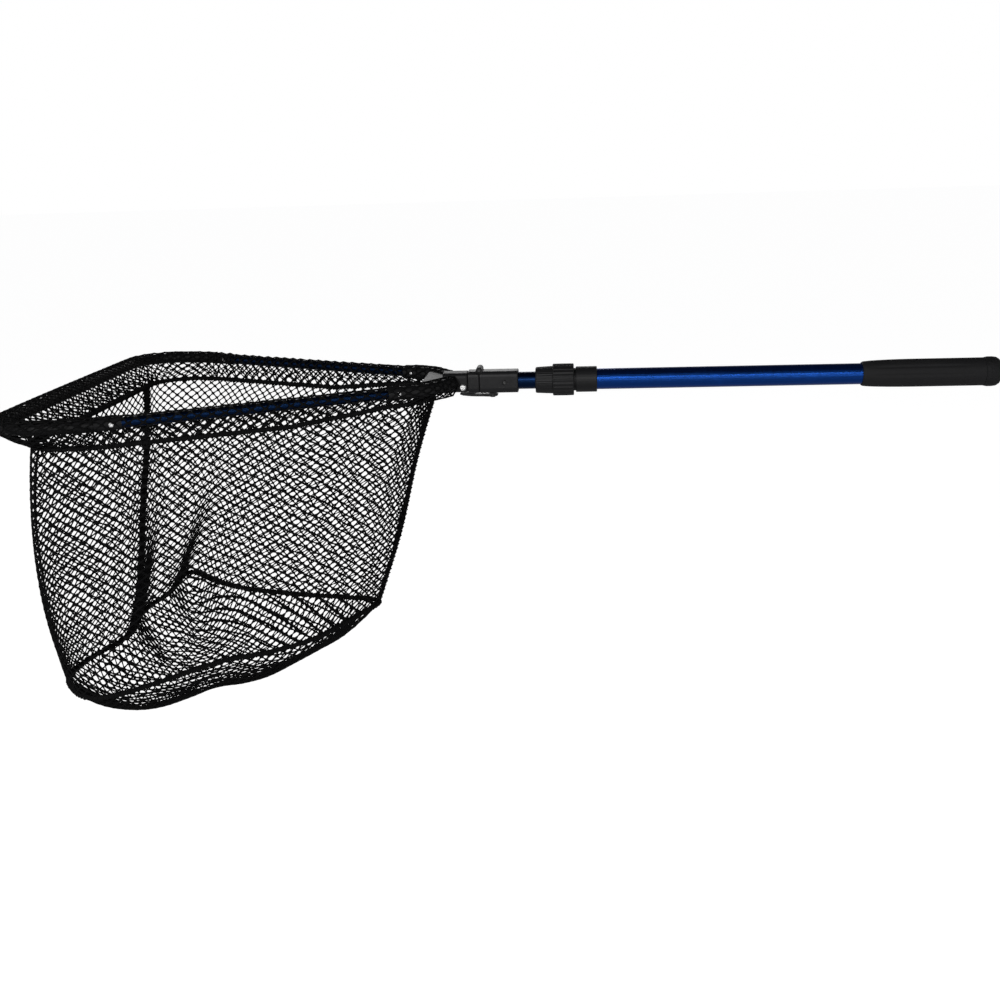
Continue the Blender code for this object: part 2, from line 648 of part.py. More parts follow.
def sleeve_section(drop, lean, outboard):
    """A sleeve round the tube whose lower side runs down to a thin skirt, which leans inboard by
    lean. The side away from the bag stands further out by outboard."""
    ring = []
    for angle in SLEEVE_ANGLES:
        side = SLEEVE_RADIUS * math.cos(angle)
        if side < 0:
            side -= outboard * -math.cos(angle)
        ring.append((side, SLEEVE_RADIUS * math.sin(angle)))
    waist = SLEEVE_BORE + 0.0020
    low = -SKIRT_HALF_THICKNESS
    high = SKIRT_HALF_THICKNESS
    return ring + [(low, -waist), (lean + low, -drop), (lean + high, -drop), (high, -waist)]


def skirt_at(point, hem):
    """(drop, lean) of the skirt below a point of the hoop, which reaches for the hem under it."""
    nearest = min(hem, key=lambda other: (other.x - point.x) ** 2 + (other.y - point.y) ** 2)
    lean = math.hypot(nearest.x - point.x, nearest.y - point.y)
    return skirt_drop(nearest), lean


def build_sleeves():
    net = material("sleeve netting", (0.012, 0.012, 0.012), 0.85)
    bore = sleeve_bore()
    line = far_line()
    stations = 6
    arm = resampled(part_of(line, SLEEVE_REAR_X, SLEEVE_BREAK_X[0]), stations)
    for name, path, side in (("near", mirrored(arm), -1), ("far", arm[::-1], 1)):
        hem = hem_line(side)
        sections = [sleeve_section(*skirt_at(point, hem), 0.0) for point in path]
        swept(f"net_sleeve_{name}", path, lambda place: sections[round(place * (stations - 1))],
              bore, finish=net)
    half = part_of(line, SLEEVE_BREAK_X[1], -2.0)
    path = mirrored(half) + half[-2::-1]
    hem = hem_line(-1) + hem_line(1)
    drops = [skirt_at(point, hem) for point in path]

    def front_section(place):
        loose = FRONT_SLEEVE_LOOSE * math.sin(math.pi * place)
        return sleeve_section(*drops[round(place * (len(path) - 1))], loose)

    swept("net_sleeve_front", path, front_section, bore, finish=net)


def hem_line(side):
    """The near (side -1) or far (side 1) half of the hem, from under the yoke to the middle of the
    front bar. It hangs inboard of the bar across the front."""
    turn = on_arm(HEM_TURN_X)
    front_middle = Vector((HEM_CORNER[0], 0.0, 0.0))
    route = filleted([flat(HEM_REAR), turn, flat(HEM_KNEE), flat(HEM_CORNER), front_middle],
                     [HEM_TURN_RADIUS, KNEE_RADIUS, CORNER_RADIUS])
    made = []
    for point in resampled(route, 60):
        point.y *= side
        point.z = -skirt_drop(point) - HEM_BELOW_SKIRT
        made.append(point)
    return made


def smooth_loop(corners, steps):
    """A closed smooth curve through every corner, with steps points for each."""
    count = len(corners)
    made = []
    for i in range(count):
        before, here, after, next_after = (corners[(i + k) % count] for k in (-1, 0, 1, 2))
        for step in range(steps):
            t = step / steps
            made.append(0.5 * (
                2 * here + (after - before) * t
                + (2 * before - 5 * here + 4 * after - next_after) * t ** 2
                + (3 * here - before - 3 * after + next_after) * t ** 3
            ))
    return made


def base_line():
    """The base cord's route from the rear corner round by the near side, on a slightly tilted plane."""
    loop = smooth_loop([Vector((x, y, 0.0)) for x, y in BASE_ROUTE], BASE_STEPS)
    for point in loop:
        fall = BASE_FALL * (point.x - BASE_ROUTE[0][0])
        point.z = BASE_REAR_LEVEL + fall + BASE_TILT * point.y
    return loop


def walls():
    """The three wall panels as (name, top, bottom, trims, bulges), with how far each of a wall's
    two upright edges stands out."""
    near_top = hem_line(-1)
    far_top = hem_line(1)
    base = base_line()
    near_end, seam_end = (BASE_CORNERS[name] * BASE_STEPS for name in ("near", "seam"))
    corner = next(i for i, point in enumerate(near_top) if point.x < NEAR_CORNER_X)
    seam = next(i for i, point in enumerate(far_top)
                if point.x < CLOSING_SEAM_X and point.y < CLOSING_SEAM_Y)
    front_top = near_top[corner:] + far_top[-2:seam - 1:-1]
    far_base = base[seam_end:] + base[:1]
    rear, near, closing = BULGE["rear"], BULGE["near"], BULGE["seam"]
    return [
        ("net_wall_near", near_top[:corner + 1], base[:near_end + 1],
         (SEAM_ROOM, NET_END_ROOM), (rear, near)),
        ("net_wall_front", front_top, base[near_end:seam_end + 1],
         (NET_END_ROOM, SEAM_ROOM), (near, closing)),
        ("net_wall_far", far_top[seam::-1], far_base, (SEAM_ROOM, SEAM_ROOM), (closing, rear)),
    ]


def bulged(point, down, depth):
    """A point of a wall moved outwards, by depth half way down and by nothing at its edges."""
    out = Vector((point.x - BAG_CENTRE.x, point.y, 0.0)).normalized()
    return point + out * depth * max(0.0, math.sin(math.pi * down)) ** BULGE_POWER


def wall_rows(top, bottom, trims, bulges, columns=17, rows=8):
    """Points of one wall, from just under the hem to just above the base cord."""
    upper = resampled(top, columns, *trims)
    lower = resampled(bottom, columns, *trims)
    below_hem = Vector((0, 0, HEM_RADIUS + GAP + NET_THICKNESS))
    above_cord = Vector((0, 0, BASE_CORD_RADIUS + GAP + NET_THICKNESS))
    depths = np.linspace(*bulges, columns)
    made = []
    for row in range(rows):
        down = row / (rows - 1)
        made.append([bulged((high - below_hem).lerp(low + above_cord, down), down, depth)
                     for high, low, depth in zip(upper, lower, depths)])
    return made


def belly_rows(base):
    """Rings of points from the base cord inwards and down to the lowest place of the belly."""
    clear = BASE_CORD_RADIUS + NET_THICKNESS + GAP
    rings = []
    for level in BELLY_RINGS:
        ring = []
        for point in base:
            across = BELLY_CENTRE.lerp(Vector((point.x, point.y, 0.0)), level)
            height = (point.z - clear) * level + BELLY_LEVEL * (1 - level)
            sunk = BELLY_DEPTH * (1 - level ** BELLY_POWER)
            ring.append(Vector((across.x, across.y, height - sunk)))
        rings.append(ring)
    return rings


def build_netting():
    net = material("bag netting", (0.010, 0.010, 0.010), 0.85)
    cord = material("bag cord", (0.012, 0.012, 0.013), 0.80)
    hem = resampled(hem_line(-1) + hem_line(1)[-2::-1], 73)
    swept("hem_cord", hem[:-1], circle(HEM_RADIUS, CORD_SIDES), closed=True, finish=cord)
    for name, *shape in walls():
        panel(name, wall_rows(*shape), NET_THICKNESS, net)
    base = base_line()
    swept("base_cord", base, circle(BASE_CORD_RADIUS, CORD_SIDES), closed=True, finish=cord)
    build_belly(base, net)
    build_seams(cord)


def build_belly(base, net):
    rings = belly_rows(base)
    bm = bmesh.new()
    grid = [[bm.verts.new(point) for point in ring] for ring in rings]
    count = len(base)
    for outer, inner in zip(grid, grid[1:]):
        for k in range(count):
            n = (k + 1) % count
            bm.faces.new((outer[k], inner[k], inner[n], outer[n]))
    middle = sum((vert.co for vert in grid[-1]), Vector()) / count
    middle.z -= 0.0015
    pole = bm.verts.new(middle)
    for k in range(count):
        bm.faces.new((grid[-1][k], pole, grid[-1][(k + 1) % count]))
    obj = new_object("net_base", bm, net)
    wall = obj.modifiers.new("Wall", "SOLIDIFY")
    wall.thickness = NET_THICKNESS
    wall.offset = 0.0


def build_seams(cord):
    """The cords down the rear corner and down the closing seam, in the room between the walls."""
    below_hem = Vector((0, 0, HEM_RADIUS + SEAM_RADIUS + GAP))
    above_cord = Vector((0, 0, BASE_CORD_RADIUS + SEAM_RADIUS + GAP))
    near_wall, _, far_wall = walls()
    steps = 8
    for name, wall, depth in (("yoke_corner_seam", near_wall, BULGE["rear"]),
                              ("closing_seam", far_wall, BULGE["seam"])):
        top, bottom = wall[1][0] - below_hem, wall[2][0] + above_cord
        path = [bulged(top.lerp(bottom, step / steps), step / steps, depth)
                for step in range(steps + 1)]
        swept(name, path, circle(SEAM_RADIUS, CORD_SIDES), upright=(1, 0, 0), finish=cord)


def main():
    for obj in list(bpy.data.objects):
        bpy.data.objects.remove(obj, do_unlink=True)
    build_handle()
    build_lock_nut()
    build_extension()
    build_latch()
    build_head_joint()
    build_yoke()
    build_hoop()
    build_sleeves()
    build_netting()


main()
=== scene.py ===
"""Finished look of a folding landing net: knotless netting, cords, mouldings, tubes and studio."""

import math

import bpy
import numpy as np
from mathutils import Matrix, Vector


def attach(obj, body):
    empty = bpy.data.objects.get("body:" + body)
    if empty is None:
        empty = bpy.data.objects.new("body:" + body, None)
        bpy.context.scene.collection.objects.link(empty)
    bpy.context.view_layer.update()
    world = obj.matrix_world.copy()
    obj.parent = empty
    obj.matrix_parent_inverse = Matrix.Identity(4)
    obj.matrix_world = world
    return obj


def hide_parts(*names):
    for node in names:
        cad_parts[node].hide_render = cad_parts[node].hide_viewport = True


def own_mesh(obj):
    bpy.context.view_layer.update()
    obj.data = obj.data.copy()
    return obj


bl_info = {
    "name": "Landing net look",
    "version": (1, 0, 0),
    "blender": (4, 5, 0),
    "location": "View3D > Sidebar > Landing net",
    "description": "Builds the netting, cords, mouldings, finishes and studio "
                   "of a folding landing net",
    "category": "Object",
}

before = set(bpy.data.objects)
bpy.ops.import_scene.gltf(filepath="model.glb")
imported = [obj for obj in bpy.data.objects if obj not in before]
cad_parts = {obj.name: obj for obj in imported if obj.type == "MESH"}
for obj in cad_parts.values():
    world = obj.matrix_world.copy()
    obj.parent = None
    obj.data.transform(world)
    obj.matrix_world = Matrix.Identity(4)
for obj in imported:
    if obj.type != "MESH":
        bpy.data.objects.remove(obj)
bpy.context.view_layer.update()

# Hoop in plan: points (x, y) of the far side, mirrored for the near side.
HORN_ROOT = (-0.5725, 0.0125)
HORN_BEND = (-0.5980, 0.0512)
HORN_END = (-0.6340, 0.0695)
KNEE = (-0.9050, 0.2090)
FRONT_CORNER = (-0.9890, 0.2195)
HORN_BEND_RADIUS = 0.030
KNEE_RADIUS = 0.090
CORNER_RADIUS = 0.042
HORN_RADIUS = 0.0070
ARM_RADIUS = 0.0052
BOW_RADIUS = 0.0062
BOW_END_X = -0.8680
CASING_SPLIT_X = -0.8760
ARC_STEPS = 10

# Bag: hem, base cord in plan (from the rear corner by the near side), walls and belly.
HEM_REAR = (-0.5940, 0.0)
HEM_TURN_X = -0.6150
HEM_TURN_RADIUS = 0.02
HEM_KNEE = (-0.9000, 0.2020)
HEM_CORNER = (-0.9660, 0.2060)
SKIRT_DROP = 0.0205
SKIRT_DROP_AT_YOKE = 0.0100
SKIRT_DROP_TILT = 0.0080
SKIRT_GROWS_OVER = 0.09
HEM_BELOW_SKIRT = 0.0030
HEM_POINTS = 160
BASE_ROUTE = (
    (-0.6690, 0.0040), (-0.6850, -0.0310), (-0.7240, -0.0900), (-0.7710, -0.1170),
    (-0.8150, -0.1280), (-0.8650, -0.1640), (-0.9050, -0.1890), (-0.9350, -0.1890),
    (-0.9600, -0.1660), (-0.9800, -0.1300), (-0.9780, -0.0900), (-0.9530, -0.0240),
    (-0.9640, 0.0500), (-0.9500, 0.1050), (-0.9480, 0.1780), (-0.8940, 0.1280),
    (-0.8420, 0.0880), (-0.7650, 0.0490), (-0.7100, 0.0260),
)
BASE_NEAR_CORNER = 8
BASE_SEAM_CORNER = 11
BASE_STEPS = 16
BASE_REAR_LEVEL = -0.2520
BASE_FALL = 0.0967
BASE_TILT = 0.0222
BAG_CENTRE = np.array((-0.85, 0.0, 0.0))
BULGE_REAR = 0.0020
BULGE_NEAR = 0.0165
BULGE_SEAM = -0.0120
BULGE_POWER = 0.7
BELLY_CENTRE = np.array((-0.870, 0.0))
BELLY_LEVEL = -0.276
BELLY_DEPTH = 0.060
BELLY_POWER = 3.4
NEAR_CORNER_X = -0.944
CLOSING_SEAM_X = -0.945
CLOSING_SEAM_Y = 0.150

# Camera: where it stands and how it is turned, in degrees.
CAMERA_PLACE = (-0.4339, -1.2729, 0.2216)
CAMERA_YAW = 4.15
CAMERA_PITCH = 15.53
CAMERA_ROLL = -1.82
CAMERA_LENS = 43.2
CAMERA_SENSOR = 36.0
CAMERA_CLIP = 0.01

TINY = 1e-12


# Sizes and colours that a user may change ------------


def length_property(name, description, default, **limits):
    return bpy.props.FloatProperty(
        name=name, description=description, default=default, unit="LENGTH", **limits
    )


def colour_property(name, description, default):
    return bpy.props.FloatVectorProperty(
        name=name, description=description, default=default, size=3, min=0.0, max=1.0,
        subtype="COLOR",
    )


class NettingSettings(bpy.types.PropertyGroup):
    """Mesh, twine and colour of the netting."""

    mesh_width: length_property(
        "Mesh width", "Width of one diamond of the netting", 0.0131, min=0.006, max=0.03
    )
    mesh_height: length_property(
        "Mesh height", "Height of one diamond of the netting", 0.0093, min=0.005, max=0.03
    )
    twine: length_property(
        "Twine", "Width of the twine between two crossings", 0.00130, min=0.0008, max=0.004
    )
    colour: colour_property("Twine colour", "Colour of the netting twine", (0.0032, 0.0032, 0.0034))


class HandleSettings(bpy.types.PropertyGroup):
    """Colours of the tubes and the grip."""

    tube: colour_property("Outer tube", "Anodised colour of the outer tube", (0.008, 0.048, 0.240))
    inner: colour_property(
        "Inner tube", "Anodised colour of the inner tube and the arms", (0.004, 0.013, 0.042)
    )
    grip: colour_property(
        "Grip", "Colour of the rubber grip and its end cap", (0.0075, 0.0075, 0.0080)
    )
    moulding: colour_property(
        "Mouldings", "Colour of the black plastic mouldings", (0.0060, 0.0060, 0.0064)
    )


class StudioSettings(bpy.types.PropertyGroup):
    """Floor and light."""

    floor_level: length_property("Floor level", "Height of the floor under the net", -0.60)
    floor_colour: colour_property("Floor", "Colour of the floor", (0.30, 0.30, 0.30))
    light: bpy.props.FloatProperty(
        name="Light", description="Strength of the studio lights together",
        default=1.0, min=0.1, max=5.0, subtype="FACTOR",
    )


def settings_of(group):
    return getattr(bpy.context.scene, f"landing_net_{group}")


# Shader maths ------------


def feed(tree, socket, value):
    """Links a signal or a socket to a socket, or sets it to a value."""
    if isinstance(value, Signal):
        value = value.socket
    if isinstance(value, bpy.types.NodeSocket):
        tree.links.new(value, socket)
    else:
        socket.default_value = value


def add_node(tree, kind, settings=None, stops=None, **sockets):
    """A node of that type: its settings and ramp stops first, then its sockets by name."""
    made = tree.nodes.new(f"ShaderNode{kind}")
    for setting, value in (settings or {}).items():
        setattr(made, setting, value)
    for element, (at, colour) in zip(made.color_ramp.elements if stops else (), stops or ()):
        element.position = at
        element.color = (*colour, 1.0)
    for socket, value in sockets.items():
        feed(tree, made.inputs[socket.replace("_", " ")], value)
    return made


class Signal:
    """A shader value that Python's operators work on; each one adds its Math node."""

    def __init__(self, finish, socket):
        self.finish = finish
        self.socket = socket

    def maths(self, operation, *terms):
        node = self.finish.node("Math", {"operation": operation})
        for slot, term in zip(node.inputs, terms):
            self.finish.feed(slot, term)
        return Signal(self.finish, node.outputs[0])

    def __add__(self, other):
        return self.maths("ADD", self, other)

    def __sub__(self, other):
        return self.maths("SUBTRACT", self, other)

    def __rsub__(self, other):
        return self.maths("SUBTRACT", other, self)

    def __mul__(self, other):
        return self.maths("MULTIPLY", self, other)

    __radd__ = __add__
    __rmul__ = __mul__


MIX_COLOURS = (6, 7)
MIX_RESULT = 2


class Finish:
    """A material on a Principled shader, built from signals."""

    def __init__(self, name, roughness, **constants):
        self.material = bpy.data.materials.new(name)
        self.material.use_nodes = True
        self.tree = self.material.node_tree
        self.shader = self.tree.nodes["Principled BSDF"]
        self.shader.inputs["Roughness"].default_value = roughness
        for socket, value in constants.items():
            self.shader.inputs[socket.replace("_", " ")].default_value = value
        self.place = self.node("TexCoord").outputs["Object"]

    def feed(self, socket, value):
        feed(self.tree, socket, value)

    def node(self, kind, settings=None, **sockets):
        return add_node(self.tree, kind, settings, **sockets)

    def stretched(self, scale):
        """Object coordinates stretched along each axis."""
        return self.node("Mapping", Vector=self.place, Scale=scale).outputs["Vector"]

    def noise(self, scale, detail, along=None, roughness=0.5):
        vector = self.place if along is None else along
        made = self.node("TexNoise", Vector=vector, Scale=scale, Detail=detail, Roughness=roughness)
        return Signal(self, made.outputs["Fac"])

    def cells(self, scale):
        made = self.node("TexVoronoi", Vector=self.place, Scale=scale)
        return Signal(self, made.outputs["Distance"])

    def mixed(self, factor, first, second):
        made = self.node("Mix", {"data_type": "RGBA"})
        self.feed(made.inputs["Factor"], factor)
        for index, value in zip(MIX_COLOURS, (first, second)):
            self.feed(made.inputs[index], (*value, 1.0) if isinstance(value, tuple) else value)
        return made.outputs[MIX_RESULT]

    def colour(self, value):
        self.feed(self.shader.inputs["Base Color"], value)

    def shades(self, factor, colour, darkest, palest):
        """Varies a colour between two shades of it."""
        self.colour(self.mixed(factor, tinted(colour, darkest), tinted(colour, palest)))

    def roughness(self, value):
        self.feed(self.shader.inputs["Roughness"], value)

    def relief(self, height, distance):
        bump = self.node("Bump", Height=height, Distance=distance, Strength=1.0)
        self.feed(self.shader.inputs["Normal"], bump.outputs["Normal"])


def tinted(colour, factor):
    return tuple(min(1.0, part * factor) for part in colour)


def anodised(name, colour, roughness):
    """Drawn aluminium tube, dyed: fine lines along its length and faint handling marks."""
    made = Finish(name, roughness, Metallic=1.0)
    lines = made.noise(1.0, 3.0, made.stretched((5.0, 1500.0, 1500.0)))
    marks = made.noise(60.0, 4.0, roughness=0.6)
    shade = made.mixed(lines, tinted(colour, 0.80), tinted(colour, 1.22))
    worn = (marks - 0.60) * 3.0
    worn.socket.node.use_clamp = True
    made.colour(made.mixed(worn * 0.5, shade, tinted(colour, 1.7)))
    made.roughness(lines * 0.10 + marks * 0.08 + (roughness - 0.09))
    made.relief(lines * 0.7 + marks * 0.3, 0.00004)
    return made.material


def rubber(name, colour, pebbles=1400.0, depth=0.00010):
    """Moulded foam rubber: a fine pebble and a dusty bloom."""
    made = Finish(name, 0.72, Specular_IOR_Level=0.20)
    pebble = made.cells(pebbles)
    bloom = made.noise(35.0, 4.0, roughness=0.65)
    made.shades(bloom, colour, 0.75, 1.55)
    made.roughness(bloom * 0.16 + 0.62)
    made.relief(pebble * 0.7 + made.noise(3000.0, 1.0) * 0.3, depth)
    return made.material


def moulded(name, colour, roughness=0.42):
    """Injection-moulded nylon: spark texture, flow marks and a slight sheen on rubbed places."""
    made = Finish(name, roughness, Specular_IOR_Level=0.20)
    spark = made.noise(2600.0, 2.0)
    flow = made.noise(22.0, 3.0, made.stretched((0.4, 1.0, 1.0)))
    rubbed = made.noise(160.0, 4.0, roughness=0.7)
    made.shades(flow, colour, 0.80, 1.45)
    made.roughness(rubbed * 0.22 + flow * 0.08 + (roughness - 0.15))
    made.relief(spark, 0.00003)
    return made.material


def powder_coated(name, colour):
    """Black coat on tube: orange peel and worn patches."""
    made = Finish(name, 0.45, Specular_IOR_Level=0.12)
    peel = made.noise(700.0, 2.0)
    wear = made.noise(90.0, 3.0)
    made.shades(wear, colour, 0.8, 1.5)
    made.roughness(peel * 0.10 + wear * 0.12 + 0.40)
    made.relief(peel, 0.00005)
    return made.material


def bright_metal(name, colour, roughness):
    """Turned steel or aluminium: fine scratches and a little tarnish."""
    made = Finish(name, roughness, Metallic=1.0)
    scratch = made.noise(1.0, 3.0, made.stretched((3500.0, 400.0, 3500.0)))
    tarnish = made.noise(250.0, 3.0)
    made.shades(tarnish, colour, 0.78, 1.08)
    made.roughness(scratch * 0.16 + tarnish * 0.10 + (roughness - 0.12))
    made.relief(scratch, 0.00001)
    return made.material


def pale_nylon(name, colour):
    """Uncoloured nylon: a milky body with a faint grain."""
    made = Finish(name, 0.5, Subsurface_Weight=0.05)
    made.shades(made.noise(80.0, 3.0), colour, 0.92, 1.05)
    made.relief(made.noise(1500.0, 2.0), 0.00003)
    return made.material


def twine(name, colour, scale=2300.0):
    """Multifilament nylon twine: filaments, strands and a little dust."""
    made = Finish(name, 0.85, Specular_IOR_Level=0.06)
    filaments = made.noise(scale, 3.0, roughness=0.7)
    strands = made.cells(scale * 0.45)
    dust = made.noise(14.0, 4.0, roughness=0.6)
    made.shades(dust * 0.6 + filaments * 0.4, colour, 0.6, 2.0)
    made.roughness(filaments * 0.20 + 0.70)
    made.relief(filaments * 0.5 + strands * 0.5, 0.00022)
    return made.material


# Meshes ------------


def deselect():
    bpy.ops.object.select_all(action="DESELECT")


def piece_from(name, points, faces, finish):
    mesh = bpy.data.meshes.new(name)
    mesh.from_pydata([tuple(point) for point in points], [], faces)
    mesh.validate()
    mesh.shade_smooth()
    mesh.materials.append(finish)
    obj = bpy.data.objects.new(name, mesh)
    bpy.context.scene.collection.objects.link(obj)
    return obj


def filleted(points, radii):
    """A polyline whose inner corners become arcs of the given radii."""
    points = [Vector(point) for point in points]
    made = [points[0]]
    for before, corner, after, radius in zip(points, points[1:], points[2:], radii):
        arriving = (before - corner).normalized()
        leaving = (after - corner).normalized()
        half = arriving.angle(leaving) / 2
        centre = corner + (arriving + leaving).normalized() * radius / math.sin(half)
        first = (corner + arriving * radius / math.tan(half) - centre).normalized()
        last = (corner + leaving * radius / math.tan(half) - centre).normalized()
        for step in range(ARC_STEPS + 1):
            made.append(centre + first.slerp(last, step / ARC_STEPS).normalized() * radius)
    made.append(points[-1])
    return made


def resampled(path, count):
    """Evenly spaced points along a path, as an array."""
    points = np.array([tuple(point) for point in path])
    run = np.concatenate([[0], np.cumsum(np.linalg.norm(np.diff(points, axis=0), axis=1))])
    wanted = np.linspace(0, run[-1], count)
    return np.stack([np.interp(wanted, run, points[:, axis]) for axis in range(3)], axis=1)


def length_of(path):
    points = np.array([tuple(point) for point in path])
    return float(np.linalg.norm(np.diff(points, axis=0), axis=1).sum())


def along(path, places):
    """Points of an evenly sampled path at places from 0 to 1."""
    grid = np.linspace(0, 1, len(path))
    return np.stack([np.interp(places, grid, path[:, axis]) for axis in range(3)], axis=1)


def unit(vectors):
    return vectors / np.maximum(np.linalg.norm(vectors, axis=1, keepdims=True), TINY)


def mirrored(path):
    return [Vector((point[0], -point[1], point[2])) for point in path]


def flat(point):
    """A plan point (x, y) at the hoop's level."""
    return Vector((*point, 0.0))


def hoop_line():
    """The far half of the hoop, from the root of its horn to the middle of the front bar."""
    horn = filleted([flat(HORN_ROOT), flat(HORN_BEND), flat(HORN_END)], [HORN_BEND_RADIUS])
    corners = [flat(HORN_END), flat(KNEE), flat(FRONT_CORNER), flat((FRONT_CORNER[0], 0.0))]
    return horn + filleted(corners, [KNEE_RADIUS, CORNER_RADIUS])[1:]


def skirt_drop(x, y):
    """How far the casing hangs below the hoop: less towards the yoke, more on the far side."""
    grown = np.clip((HORN_END[0] - x) / SKIRT_GROWS_OVER, 0.0, 1.0)
    return SKIRT_DROP_AT_YOKE + (SKIRT_DROP + SKIRT_DROP_TILT * y - SKIRT_DROP_AT_YOKE) * grown


def hem_line(side):
    """The near (side -1) or far (side 1) half of the hem, from under the yoke to the front."""
    direction = (flat(KNEE) - flat(HORN_END)).normalized()
    turn = flat(HORN_END) + direction * (HEM_TURN_X - HORN_END[0]) / direction.x
    corners = [flat(HEM_REAR), turn, flat(HEM_KNEE), flat(HEM_CORNER), flat((HEM_CORNER[0], 0.0))]
    radii = [HEM_TURN_RADIUS, KNEE_RADIUS, CORNER_RADIUS]
    points = resampled(filleted(corners, radii), HEM_POINTS)
    points[:, 1] *= side
    points[:, 2] = -skirt_drop(points[:, 0], points[:, 1]) - HEM_BELOW_SKIRT
    return points


def smooth_loop(corners, steps):
    """A closed smooth curve through every corner, with steps points for each."""
    share = (np.arange(steps) / steps)[None, :, None]
    before, here, after, last = (np.roll(corners, -k, axis=0)[:, None, :] for k in (-1, 0, 1, 2))
    made = 0.5 * (
        2 * here + (after - before) * share
        + (2 * before - 5 * here + 4 * after - last) * share ** 2
        + (3 * here - before - 3 * after + last) * share ** 3
    )
    return made.reshape(-1, corners.shape[1])


def base_line():
    """The base cord's route from the rear corner round by the near side, back to its start."""
    loop = smooth_loop(np.array(BASE_ROUTE), BASE_STEPS)
    loop = np.concatenate([loop, loop[:1]])
    level = BASE_REAR_LEVEL + BASE_FALL * (loop[:, 0] - BASE_ROUTE[0][0]) + BASE_TILT * loop[:, 1]
    return np.column_stack([loop, level])


def wall_edges():
    """Top and bottom edges of each wall, and how far its two upright edges stand out."""
    near = hem_line(-1)
    far = hem_line(1)
    base = base_line()
    corner = next(i for i, point in enumerate(near) if point[0] < NEAR_CORNER_X)
    seam = next(i for i, point in enumerate(far)
                if point[0] < CLOSING_SEAM_X and point[1] < CLOSING_SEAM_Y)
    near_end = BASE_NEAR_CORNER * BASE_STEPS
    seam_end = BASE_SEAM_CORNER * BASE_STEPS
    front_top = np.concatenate([near[corner:], far[-2:seam - 1:-1]])
    return {
        "near": (near[:corner + 1], base[:near_end + 1], BULGE_REAR, BULGE_NEAR),
        "front": (front_top, base[near_end:seam_end + 1], BULGE_NEAR, BULGE_SEAM),
        "far": (far[seam::-1], base[seam_end:], BULGE_SEAM, BULGE_REAR),
    }


# Netting ------------


def diamonds(across, down):
    """A net of diamonds: node places from 0 to 1 both ways, and faces of three or four nodes."""
    number = {}
    faces = []
    for i in range(2 * across + 1):
        for j in range(2 * down + 1):
            if (i + j) % 2 == 0:
                continue
            corners = [(i - 1, j), (i, j + 1), (i + 1, j), (i, j - 1)]
            corners = [(a, b) for a, b in corners if 0 <= a <= 2 * across and 0 <= b <= 2 * down]
            for corner in corners:
                number.setdefault(corner, len(number))
            faces.append([number[corner] for corner in corners])
    places = np.array(list(number), float) / (2 * across, 2 * down)
    return places[:, 0], places[:, 1], faces


FACING_STEP = 1e-3


def facing(surface, u, v):
    """Unit normals of a surface(u, v), from small steps both ways."""
    step = FACING_STEP
    du = surface(np.clip(u + step, 0, 1), v) - surface(np.clip(u - step, 0, 1), v)
    dv = surface(u, np.clip(v + step, 0, 1)) - surface(u, np.clip(v - step, 0, 1))
    return unit(np.cross(du, dv))


# Twine: how far a crossing and a shoulder reach into a hole, and heights over half its width.
CROSSING_SPREAD = 1.85
SHOULDER = 0.50
TWINE_HEIGHT = 1.30
SHOULDER_HEIGHT = 0.92
CROSSING_HEIGHT = 1.60


